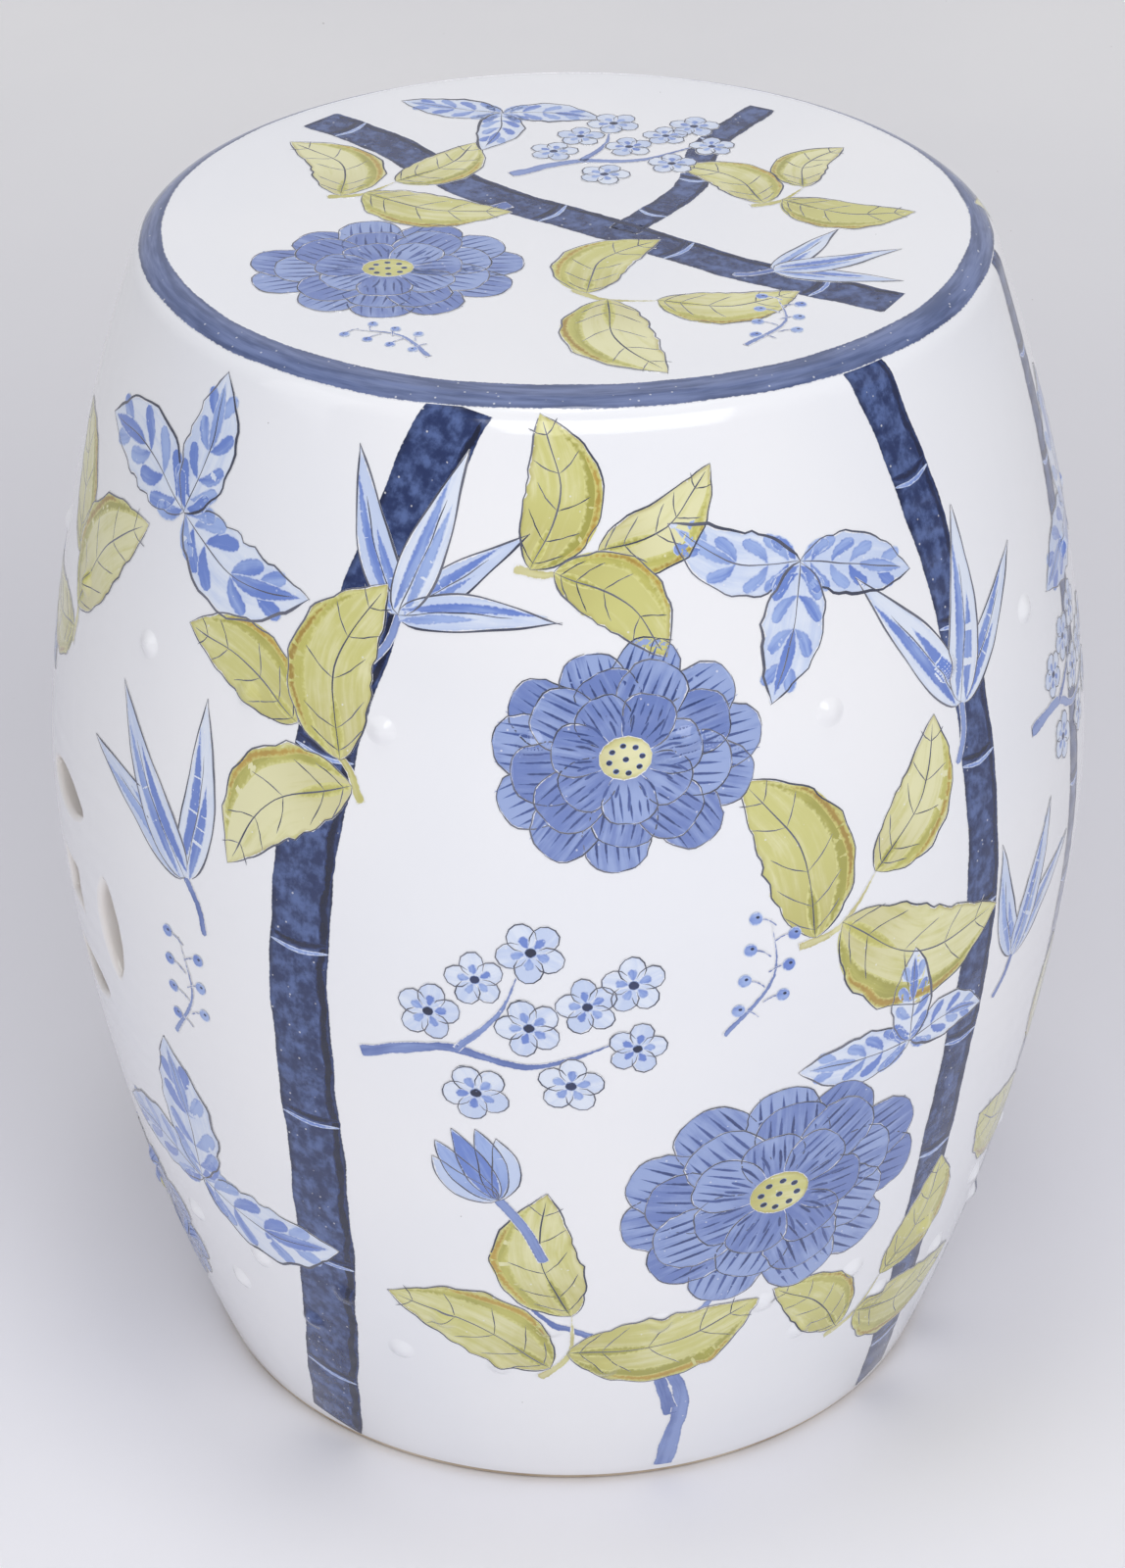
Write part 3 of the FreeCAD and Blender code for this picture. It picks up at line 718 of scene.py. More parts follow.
@dataclass(frozen=True)
class Pigment(Finish):
    """A painted colour under the glaze, brushed thinner and thicker, pooled at its rim or fading out.

    Colours are given as they look on screen. The rim's width and the fade are millimetres inwards from the
    stroke's outline, the mottle is waves per metre, and the other numbers are shares. What lies under the
    paint shows at a fading edge: another paint's colour if it is given, and else the glaze.
    """

    name: str
    light: Screen
    deep: Screen
    rim: Screen
    rim_width: float = 0.9
    rim_share: float = 0.5
    fade: float = 0.35
    cover: float = 1.0
    streaks: float = 0.6
    root: float = 0.0
    mottle: float = 60.0
    pinholes: float = 0.10
    under: Union[Screen, None] = None
    bristles: tuple[float, float, float] = (3.0, 30.0, 1.0)
    tone_share: float = 0.30
    root_reach: float = 0.55
    patch_scale: float = 75.0
    pinhole_scale: float = 420.0
    pinhole_radius: float = 0.20
    pinhole_depth: float = 0.55
    tear_scale: float = 700.0
    tear_share: float = 0.3

    def material(self, glaze: Glaze) -> Material:
        """The pigment's material, lying in the given glaze."""
        return self.shared(self.name, lambda tree, shader: self.write(tree, shader, glaze))

    def write(self, tree: Tree, shader: Node, glaze: Glaze) -> None:
        """Mix two tones by streaks and clouds, darken root and rim, and let what lies under it show at the edge."""
        light, deep, rim = (srgb(*screen) for screen in (self.light, self.deep, self.rim))
        ground, where, drawn = glaze.ground(tree), tree.place(), tree.paint_map()
        edge, along, tone = tree.number("edge"), tree.number("along"), tree.number("tone")
        streak = tree.noise(tree.stretch(drawn, self.bristles), 1.0, 3.0, 0.6)
        cloud = tree.noise(where, self.mottle, 4.0, 0.6)
        mixed = tree.maths("ADD", tree.maths("MULTIPLY", streak, self.streaks),
                           tree.maths("MULTIPLY", cloud, 1 - self.streaks))
        mixed = tree.maths("ADD", mixed, tree.maths("MULTIPLY", tree.maths("SUBTRACT", tone, 0.5), self.tone_share))
        colour = tree.blend(tree.spread(mixed, 0.36, 0.64), light, deep)
        rooted = tree.maths("MULTIPLY", tree.spread(along, 0.0, self.root_reach, 1.0, 0.0), self.root)
        patchy = tree.spread(tree.noise(where, self.patch_scale), 0.38, 0.62, 0.35, 1.0)
        pooled = tree.maths("MULTIPLY", tree.spread(edge, 0.0, self.rim_width, self.rim_share, 0.0), patchy)
        colour = tree.blend(tree.maths("MAXIMUM", rooted, pooled), colour, rim)
        pin = tree.spots(where, self.pinhole_scale, self.pinhole_radius, self.pinholes)
        torn = self.tear_share * self.fade
        ragged = tree.spread(tree.noise(where, self.tear_scale, 1.0), 0.3, 0.7, -torn, torn)
        shown = tree.maths("MULTIPLY", tree.spread(tree.maths("ADD", edge, ragged), 0.0, self.fade), self.cover)
        whole = tree.maths("SUBTRACT", 1.0, tree.maths("MULTIPLY", pin, self.pinhole_depth))
        shown = tree.maths("MULTIPLY", shown, whole)
        bare = ground["Color"] if self.under is None else srgb(*self.under)
        glaze.dress(tree, shader, tree.blend(shown, bare, colour), ground)


class Paint(Enum):
    """The painter's colours."""

    BARK = Pigment("bark_navy", (86, 106, 158), (32, 48, 94), (13, 20, 50), rim_width=3.0, rim_share=0.85,
                   fade=0.3, streaks=0.2, mottle=190.0, pinholes=0.16)
    JOINT = Pigment("joint_ink", (24, 34, 70), (12, 18, 42), (12, 18, 42), rim_width=0.6, rim_share=0.4,
                    fade=0.9, cover=0.9, streaks=0.4, under=(44, 60, 108))
    COBALT = Pigment("petal_cobalt", (150, 169, 217), (104, 126, 190), (82, 102, 170), rim_width=1.6,
                     fade=0.5, cover=0.97, streaks=0.65, root=0.55)
    DEEP = Pigment("stamen_blue", (72, 90, 150), (42, 56, 106), (34, 46, 96), rim_width=0.5, rim_share=0.3,
                   fade=0.3, cover=0.9, streaks=0.5, under=(112, 134, 194))
    WASH = Pigment("pale_wash", (224, 232, 247), (194, 209, 240), (168, 188, 228), rim_width=1.8,
                   fade=0.7, cover=0.9)
    STROKE = Pigment("brush_blue", (160, 182, 231), (104, 132, 207), (80, 106, 186), rim_width=1.1,
                     rim_share=0.6, fade=0.7, cover=0.96, streaks=0.7, root=0.35, under=(206, 218, 243))
    STEM = Pigment("stem_blue", (134, 154, 208), (90, 112, 176), (66, 88, 152), rim_width=1.1,
                   rim_share=0.7, fade=0.4, cover=0.97, streaks=0.7)
    LEAF = Pigment("leaf_yellow", (229, 226, 176), (206, 203, 122), (160, 146, 52), rim_width=2.2,
                   rim_share=0.7, fade=0.5, cover=0.95, root=0.35)
    OLIVE = Pigment("leaf_olive", (190, 186, 96), (152, 148, 56), (136, 128, 44), rim_width=0.9,
                    rim_share=0.3, fade=1.6, cover=0.8, under=(216, 213, 144))
    OCHRE = Pigment("leaf_ochre", (186, 142, 54), (150, 108, 34), (140, 98, 30), rim_width=0.7,
                    rim_share=0.3, fade=1.3, cover=0.75, streaks=0.5, under=(206, 200, 120))
    PEN = Pigment("pen_grey", (112, 114, 128), (66, 70, 88), (60, 62, 78), rim_width=0.3, rim_share=0.2,
                  fade=0.01, streaks=0.7, pinholes=0.0)
    INK = Pigment("centre_ink", (34, 44, 84), (16, 22, 50), (12, 16, 40), rim_width=0.5, rim_share=0.3,
                  cover=0.96, streaks=0.4, under=(140, 162, 218))
    BAND = Pigment("rim_blue", (106, 122, 168), (62, 80, 126), (38, 52, 94), rim_width=3.0,
                   rim_share=0.65, fade=0.5, cover=0.97, streaks=0.8, mottle=30.0, pinholes=0.22)


# share of a stem's half length over which its ends are rounded off
STEM_END = 0.04
class Shape(Enum):
    """How a stroke's width swells: the share walked to one power times the share left to another, 1 at its peak."""

    LEAF = (0.72, 0.98)
    BLADE = (0.5, 1.15)
    PETAL = (0.8, 0.42)
    DAB = (0.5, 0.5)
    POST = (0.0, 0.0)
    STEM = (0.0, 0.01)
    TAPER = (0.0, 0.7)

    def width(self, share: Array) -> Array:
        """Widths at shares of the way; a post keeps its width, and a stem only rounds off its ends."""
        first, last = self.value
        if self is Shape.POST:
            return np.ones_like(share)
        if self is Shape.STEM:
            past = np.maximum(np.abs(share - 0.5) * 2 - (1 - STEM_END), 0) / STEM_END
            return np.sqrt(np.clip(1 - past ** 2, 0, 1))
        peak = first / (first + last)
        top = (peak ** first if first else 1.0) * (1 - peak) ** last
        return share ** first * (1 - share) ** last / top


def flow(points: Points, steps: int, fine: int = 24, ease: float = 0.75) -> Array:
    """A smooth line through points: Catmull-Rom pieces, respaced with shorter steps towards both ends.

    Args:
        points: places the line passes, in order.
        steps: how many steps the line has.
        fine: points worked out for each piece before they are respaced.
        ease: how much shorter the steps at the ends are.
    Returns:
        The line's points, one more than its steps.
    """
    knots = np.asarray(points, float)
    padded = np.vstack([2 * knots[0] - knots[1], knots, 2 * knots[-1] - knots[-2]])
    share = np.linspace(0, 1, fine, endpoint=False)[:, None, None]
    first, second, third, fourth = padded[:-3], padded[1:-2], padded[2:-1], padded[3:]
    curve = 0.5 * (2 * second + (third - first) * share + (2 * first - 5 * second + 4 * third - fourth) * share ** 2
                   + (3 * second - first - 3 * third + fourth) * share ** 3)
    curve = np.vstack([curve.transpose(1, 0, 2).reshape(-1, 2), knots[-1:]])
    way = walked(curve)
    even = np.linspace(0, 1, steps + 1)
    pace = (even - np.sin(FULL_TURN * even) / FULL_TURN * ease) * way[-1]
    return points_at(pace, way, curve)


def points_at(wanted: Array, way: Array, line: Array) -> Array:
    """Points of a line at wanted distances, by straight steps between the ones it has."""
    return np.stack([np.interp(wanted, way, line[:, 0]), np.interp(wanted, way, line[:, 1])], -1)


def walked(line: Array) -> Array:
    """Distance walked along a line up to each of its points."""
    return np.concatenate([[0.0], np.cumsum(np.linalg.norm(np.diff(line, axis=0), axis=1))])


def sideways(line: Array) -> Array:
    """Unit normals to the left of a line, its slope turned a quarter."""
    slope = np.gradient(line, axis=0)
    return np.stack([-slope[:, 1], slope[:, 0]], -1) / np.linalg.norm(slope, axis=1, keepdims=True)


def turned(points: Array, angle: float) -> Array:
    """Flat points turned about the origin, against the clock, in degrees."""
    cosine, sine = math.cos(math.radians(angle)), math.sin(math.radians(angle))
    return np.asarray(points, float) @ np.array([[cosine, sine], [-sine, cosine]])


@dataclass(frozen=True)
class SideGround:
    """A flat sheet of drawing, in millimetres, wrapped on the barrel's side about one point."""

    skin: Skin
    turn: float
    height: float
    tilt: float = 0.0

    def find(self, flat: Array) -> tuple[Array, Array]:
        """Angles and ways for points of the sheet.

        Sideways millimetres are an angle at the wall's own radius there, and upward ones a way up the outline.
        """
        flat = turned(flat, self.tilt)
        way = self.skin.section.way_at(self.height * MM) - flat[..., 1] * MM
        radius = self.skin.section.along(way)[0]
        return VIEW_TURN + math.radians(self.turn) + flat[..., 0] * MM / radius, way
    def relief(self, flat: Array) -> Array:
        """How far the studs lift the drawing."""
        turn, way = self.find(flat)
        return sum(ring.relief(self.skin.section, turn, way) for ring in STUDS)

    def lay(self, flat: Array, lift: Array) -> Array:
        """Points of the drawing on the wall; those above it are draped over its studs, those under it are not."""
        turn, way = self.find(flat)
        return self.skin.place(turn, way, lift + np.where(lift > 0, self.relief(flat) * DRAPE, 0.0))


@dataclass(frozen=True)
class SeatGround:
    """A flat sheet of drawing, in millimetres, laid on the seat, with up pointing away from the camera."""

    skin: Skin
    across: float
    away: float
    tilt: float = 0.0

    def relief(self, flat: Array) -> Array:
        """The seat has no studs."""
        return np.zeros(flat.shape[:-1])

    def lay(self, flat: Array, lift: Array) -> Array:
        """Millimetres on the seat become a distance from its middle and an angle, and go on over its edge."""
        flat = turned(flat, self.tilt) + np.array([self.across, self.away])
        way = np.hypot(flat[..., 0], flat[..., 1]) * MM
        turn = np.arctan2(flat[..., 1], flat[..., 0]) + VIEW_TURN + math.pi / 2
        return self.skin.place(turn, way, lift)


Ground = Union[SideGround, SeatGround]


class Painter:
    """Paints one piece of the decoration, stroke by stroke, on its ground.

    Lengths are in millimetres. A stroke stands base plus a step for each layer above the glaze, and its
    underside lies just under it. Its cells are coarse, or fine where it passes over a stud.
    """

    base: float = 0.10
    step: float = 0.016
    under: float = -0.15
    coarse: float = 2.4
    fine: float = 1.2
    end_rim: float = 0.25
    map_scale: float = 100.0
    map_shift: float = 9.0
    wave: float = 6.28
    quick_wave: float = 14.1

    def __init__(self, name: str, ground: Ground, glaze: Glaze, layer: int = 0, seed: int = 0) -> None:
        """Start a piece on a ground; layer lifts all of it over what is already painted."""
        self.ground, self.glaze, self.layer = ground, glaze, layer
        self.shell = Shell(name, ("edge", "along", "tone"))
        self.random = np.random.default_rng(seed)

    def brush(self, line: Array, left: Array, right: Array, paint: Paint, layer: int,
              tone: Union[float, None] = None) -> None:
        """Lay one stroke: a ribbon along a line, closed underneath, with its edge distance at every point.

        Args:
            line: points of the stroke's middle.
            left: widths to the left of it.
            right: widths to the right.
            paint: the colour.
            layer: how many layers above the piece's own.
            tone: 0 for the paler tone and 1 for the deeper; left to chance if not given.
        """
        widest = float(max(left.max(), right.max()))
        line, left, right, grain = self.refined(line, left, right, widest)
        cells = 2 * max(1, math.ceil(widest / grain))
        across = np.linspace(-1, 1, cells + 1)
        reach = np.where(across < 0, left[:, None] * across, right[:, None] * across)
        flat = line[:, None] - sideways(line)[:, None] * reach[..., None]
        way = walked(line)
        ends = np.minimum(way, way[-1] - way)[:, None] + self.end_rim
        half = np.abs(np.where(across < 0, left[:, None], right[:, None]))
        edge = np.minimum(half * (1 - np.abs(across)), ends)
        around = self.shell.wrapped(cells)
        lifts = np.full((len(line), len(around)), (self.base + self.step * (self.layer + layer)) * MM)
        lifts[:, cells + 1:cells + 3] = self.under * MM
        flat = flat[:, around]
        grid = self.ground.lay(flat, lifts)
        walk = np.repeat(way[:, None], cells + 1, 1)
        shift = self.random.random() * self.map_shift
        drawn = np.stack([walk / self.map_scale + shift, reach / self.map_scale], -1)
        shade = float(self.random.random() if tone is None else tone)
        self.shell.wear(paint.value.material(self.glaze))
        index = self.shell.add_grid(grid, flip=True, mapping=drawn[:, around],
                                    normals=self.facing(flat, lifts, grid), edge=edge[:, around],
                                    along=(walk / way[-1])[:, around], tone=shade)
        self.shell.cap(index)

    def refined(self, line: Array, left: Array, right: Array, widest: float) -> tuple[Array, Array, Array, float]:
        """The stroke's line and widths with the size of its cells: finer ones where it passes over a stud.

        Args:
            line: points of the stroke's middle.
            left: widths to the left of it.
            right: widths to the right.
            widest: the greatest of the widths.
        Returns:
            The line, both widths and the size of a cell.
        """
        side = sideways(line)
        probe = np.stack([line + side * step for step in np.linspace(-widest, widest, 5)])
        if not np.any(self.ground.relief(probe) > 0):
            return line, left, right, self.coarse
        way = walked(line)
        fine = np.linspace(0, way[-1], max(len(way), math.ceil(way[-1] / self.fine)) + 1)
        return points_at(fine, way, line), np.interp(fine, way, left), np.interp(fine, way, right), self.fine

    def facing(self, flat: Array, lifts: Array, grid: Array, step: float = 0.05) -> Array:
        """Normals of the ground under each point: the cross product of a small step to the right and one upwards."""
        over = self.ground.lay(flat + np.array([step, 0.0]), lifts) - grid
        up = self.ground.lay(flat + np.array([0.0, step]), lifts) - grid
        normal = np.cross(over, up)
        return normal / np.linalg.norm(normal, axis=-1, keepdims=True)

    def stroke(self, points: Points, width: float, shape: Shape, paint: Paint, layer: int = 0,
               ripple: float = 0.0, ripples: float = 0.0, tone: Union[float, None] = None,
               lop: float = 0.0) -> tuple[Array, Array, Array]:
        """Brush a shaped stroke through points, its sides rippled by sines of the way.

        Args:
            points: places the stroke passes, in order.
            width: greatest width to each side.
            shape: how the width swells.
            paint: the colour.
            layer: layers above the piece's own.
            ripple: depth of the ripples as a share of the width.
            ripples: how many along the stroke.
            tone: see brush.
            lop: how much wider the left side is, as a share.
        Returns:
            The middle line and the left and right outlines.
        """
        length = float(walked(np.asarray(points, float))[-1])
        line = flow(points, int(np.clip(length / 2.3, 7, 210)))
        share = walked(line) / walked(line)[-1]
        swell = shape.width(share) * width
        phase = self.random.random(2) * self.wave
        waves = [1 + ripple * (np.sin(share * ripples * self.wave + start)
                               + 0.5 * np.sin(share * ripples * self.quick_wave + 2 * start)) for start in phase]
        left, right = swell * waves[0] * (1 + lop), swell * waves[1] * (1 - lop)
        self.brush(line, left, right, paint, layer, tone)
        normal = sideways(line)
        return line, line + normal * left[:, None], line - normal * right[:, None]

    def dot(self, middle: Array, reach: float, width: float, paint: Paint, layer: int) -> None:
        """Dab a round spot: a short stroke through its middle from left to right."""
        self.stroke([middle - (reach, 0), middle, middle + (reach, 0)], width, Shape.DAB, paint, layer)

    def pen(self, line: Array, thickness: float = 0.32, layer: int = 3, start: float = 0.0, end: float = 1.0,
            wander: float = 0.25) -> None:
        """Draw a pen line along part of a line, pressed harder here and there and a little off it.

        Args:
            line: the line to follow.
            thickness: greatest width to each side.
            layer: layers above the piece's own.
            start: share of the line where the pen sets off.
            end: share where it stops.
            wander: how far it strays.
        """
        way = walked(line)
        points = max(6, int((end - start) * way[-1] / 2.6))
        trace = points_at(np.linspace(start, end, points + 1) * way[-1], way, line)
        share = np.linspace(0, 1, points + 1)
        waves = self.random.random(3) * self.wave
        drift = wander * (np.sin(share * 7 + waves[0]) + 0.5 * np.sin(share * 17 + waves[1]))
        trace = trace + sideways(trace) * drift[:, None]
        lifted = np.clip(np.minimum(share, 1 - share) * 12, 0.25, 1)
        press = thickness * (0.72 + 0.5 * np.sin(share * 5 + waves[2]) ** 2) * lifted
        self.brush(trace, press, press, Paint.PEN, layer)

    def finish(self) -> Piece:
        """Build the piece and fix it to the stool."""
        piece = self.shell.build()
        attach(piece, BODY)
        return piece

    # leaves

    def blade(self, root: Sequence[float], angle: float, length: float, width: float, layer: int = 0) -> None:
        """A narrow bamboo leaf: a pale wash, two long blue strokes inside it, and a pen outline."""
        bend = (self.random.random() - 0.5) * length * 0.16
        way = turned([(0, 0), (length * 0.45, bend), (length, bend * 0.3)], angle) + np.asarray(root, float)
        line, left, right = self.stroke(way, width, Shape.BLADE, Paint.WASH, layer)
        side = sideways(line)
        last = len(line) - 1
        for offset, begin, stop in ((0.28, 0.06, 0.80), (-0.30, 0.04, 0.62)):
            part = line[int(begin * last):int(stop * last) + 1]
            shift = side[int(begin * last):int(stop * last) + 1] * width * offset
            self.stroke((part + shift)[::3], width * 0.30, Shape.LEAF, Paint.STROKE, layer + 1)
        self.pen(left, 0.3, layer + 2, 0.0, 1.0)
        self.pen(right, 0.38, layer + 2, 0.05, 1.0)
        self.pen(line, 0.2, layer + 2, 0.0, 0.7)

    def pale_leaf(self, root: Sequence[float], angle: float, length: float, width: float,
                  layer: int = 0) -> None:
        """A broad pale leaf: wash, a blue midrib stroke, fingers of blue to each side, a scalloped outline."""
        bend = (self.random.random() - 0.5) * length * 0.3
        way = turned([(0, 0), (length * 0.5, bend), (length, 0)], angle) + np.asarray(root, float)
        line, left, right = self.stroke(way, width, Shape.LEAF, Paint.WASH, layer, 0.07, 5)
        side, last = sideways(line), len(line) - 1
        slope = np.stack([side[:, 1], -side[:, 0]], -1)
        for place in np.linspace(0.10, 0.62, 5):
            at = int(place * last)
            reach = width * float(Shape.LEAF.width(np.array([min(place + 0.16, 1.0)]))[0])
            for hand in (1, -1):
                stretch = 0.72 + 0.16 * self.random.random()
                tip = line[at] + side[at] * hand * reach * stretch + slope[at] * length * 0.19
                knee = line[at] + side[at] * hand * reach * 0.42 + slope[at] * length * 0.06
                self.stroke((line[at], knee, tip), width * 0.23, Shape.PETAL, Paint.STROKE, layer + 1 + (hand > 0))
        self.stroke(line[int(last * 0.5):int(last * 0.93):2], width * 0.24, Shape.LEAF, Paint.STROKE, layer + 3)
        self.pen(left, 0.28, layer + 4)
        self.pen(right, 0.50, layer + 4, 0.0, 1.0, 0.4)
        self.pen(line, 0.22, layer + 4, 0.0, 0.9)

    def green_leaf(self, root: Sequence[float], angle: float, length: float, width: float,
                   layer: int = 0) -> None:
        """A yellow-green leaf: wash, an olive shade along one side, ochre at an edge, pen veins and outline."""
        hand = 1 if self.random.random() < 0.5 else -1
        bend = hand * length * (0.08 + 0.10 * self.random.random())
        way = turned([(0, 0), (length * 0.5, bend), (length, 0)], angle) + np.asarray(root, float)
        line, left, right = self.stroke(way, width, Shape.LEAF, Paint.LEAF, layer, 0.05, 6, lop=0.12 * hand)
        side, last = sideways(line), len(line) - 1
        slope = np.stack([side[:, 1], -side[:, 0]], -1)
        outer = left if hand > 0 else right
        rim = line * 0.24 + outer * 0.76
        self.stroke(rim[int(last * 0.08):int(last * 0.9):3], width * 0.20, Shape.LEAF, Paint.OLIVE, layer + 1)
        rim = line * 0.12 + outer * 0.88
        self.stroke(rim[int(last * 0.30):int(last * 0.72):2], width * 0.10, Shape.DAB, Paint.OCHRE, layer + 2)
        self.stroke(line[int(last * 0.02):int(last * 0.5):3], width * 0.16, Shape.LEAF, Paint.OLIVE, layer + 2)
        for place in np.linspace(0.16, 0.74, 5):
            at = int(place * last)
            reach = width * Shape.LEAF.width(np.array([place + 0.07]))[0] * 0.72
            for turn in (1, -1):
                tip = line[at] + side[at] * turn * reach + slope[at] * reach * 0.8
                knee = line[at] + side[at] * turn * reach * 0.45 + slope[at] * reach * 0.28
                self.pen(flow((line[at], knee, tip), 6), 0.2, layer + 3, 0.0, 1.0, 0.1)
        self.pen(line, 0.26, layer + 3, 0.0, 0.94)
        self.pen(left, 0.28, layer + 3)
        self.pen(right, 0.28, layer + 3)

    # flowers

    def lotus(self, size: float, squash: float = 0.86) -> None:
        """A cobalt lotus seen half from above: three rings of petals round a seed head, outermost first.

        Args:
            size: reach of the outermost petals.
            squash: height over width, as the flower leans back.
        """
        rings = ((11, 1.0, 0.24, 0.0, 0), (9, 0.80, 0.24, 17.0, 5), (7, 0.56, 0.20, 5.0, 10))
        for count, reach, width, start, layer in rings:
            self.petal_ring(count, size * reach, size * width, start, squash, layer)
        head, seeds, stamens, top = size * 0.19, 9, 22, 15
        self.stroke([(-head, 0), (0, head * 0.06), (head, 0)], head * squash, Shape.DAB, Paint.LEAF, top)
        for place in range(seeds):
            spot = turned([(head * (0.62 if place else 0.0), 0)], place * 45.0)[0] * np.array([1, squash])
            self.dot(spot, head * 0.12, head * 0.11, Paint.INK, top + 1)
        for place in range(stamens):
            turn = place * 360 / stamens + self.random.random() * 8
            ends = turned([(head * 1.08, 0), (head * (1.7 + 0.7 * self.random.random()), 0)], turn)
            near, far = ends * np.array([1, squash])
            bend = (near + far) / 2 + self.random.random(2) * 0.8
            self.stroke((near, bend, far), size * 0.012, Shape.PETAL, Paint.DEEP, top)

    def petal_ring(self, count: int, length: float, width: float, start: float, squash: float, layer: int) -> None:
        """One ring of petals, every other one laid over its neighbours, each with fine deep veins.

        Args:
            count: how many petals.
            length: their reach from the flower's middle.
            width: greatest width to each side.
            start: direction of the first, in degrees.
            squash: height over width of the flower.
            layer: layers above the piece's own.
        """
        scale = np.array([1, squash])
        for place in range(count):
            turn = start + place * 360 / count + (self.random.random() - 0.5) * 9
            reach = length * (0.94 + 0.10 * self.random.random())
            over = layer + (place % 2) * 2
            bend = (self.random.random() - 0.5) * reach * 0.1
            way = turned([(reach * 0.10, 0), (reach * 0.55, bend), (reach, 0)], turn) * scale
            line, left, right = self.stroke(way, width, Shape.PETAL, Paint.COBALT, over, 0.035, 7)
            side, last = sideways(line), len(line) - 1
            for offset in (-0.62, -0.34, 0.0, 0.32, 0.6):
                begin = int(last * (0.48 + 0.12 * self.random.random()))
                stop = int(last * (0.82 + 0.12 * self.random.random()))
                part = line[begin:stop + 1] + side[begin:stop + 1] * width * offset
                self.stroke(part[[0, len(part) // 2, -1]], width * 0.05, Shape.LEAF, Paint.DEEP, over + 1)
            self.pen(left, 0.24, over + 2, 0.25)
            self.pen(right, 0.24, over + 2, 0.25)

    def bud(self, root: Sequence[float], angle: float, size: float, layer: int = 0) -> None:
        """A closed flower: a fan of narrow petals, pale outside and blue in the middle."""
        petals = ((-26, 0.82, Paint.WASH), (26, 0.82, Paint.WASH), (-14, 0.94, Paint.STROKE),
                  (14, 0.94, Paint.STROKE), (0, 1.0, Paint.STROKE))
        for number, (turn, share, paint) in enumerate(petals):
            reach = size * share
            way = turned([(0, 0), (reach * 0.5, turn * 0.04 * size / 10), (reach, 0)], angle + turn)
            way = way + np.asarray(root, float)
            _, left, right = self.stroke(way, size * 0.15, Shape.LEAF, paint, layer + number)
            self.pen(left, 0.24, layer + len(petals))
            self.pen(right, 0.24, layer + len(petals))

    def plum(self, middle: Sequence[float], size: float, layer: int = 0) -> None:
        """A plum blossom: pale round petals, a blue dab on each, and an inky middle."""
        petals = 5
        middle, start = np.asarray(middle, float), self.random.random() * 360 / petals
        for place in range(petals):
            turn = start + place * 360 / petals
            way = turned([(size * 0.12, 0), (size * 0.55, 0), (size, 0)], turn) + middle
            _, left, right = self.stroke(way, size * 0.42, Shape.DAB, Paint.WASH, layer + place % 2)
            outline = np.concatenate([left[len(left) // 5:], right[::-1][:-len(right) // 5]])
            self.pen(outline, 0.24, layer + 2)
            dab = turned([(size * 0.16, 0), (size * 0.34, 0), (size * 0.58, 0)], turn) + middle
            self.stroke(dab, size * 0.16, Shape.PETAL, Paint.STROKE, layer + 3)
        self.dot(middle, size * 0.17, size * 0.16, Paint.INK, layer + 4)

    def berry(self, middle: Array, size: float, layer: int = 0) -> None:
        """A round berry with an inky dot."""
        self.dot(middle, size, size, Paint.STROKE, layer)
        self.dot(middle + np.array([size * 0.2, size * 0.25]), size * 0.3, size * 0.28, Paint.INK, layer + 1)


class Motif(Enum):
    """The kinds of painted piece."""

    CANE = "bamboo_cane"
    STEM = "flower_stem"
    FAN = "bamboo_leaves"
    TRIO = "pale_leaves"
    GREEN = "green_leaves"
    LOTUS = "lotus"
    BUD = "lotus_bud"
    PLUM = "plum_blossom"
    BERRIES = "berry_twig"


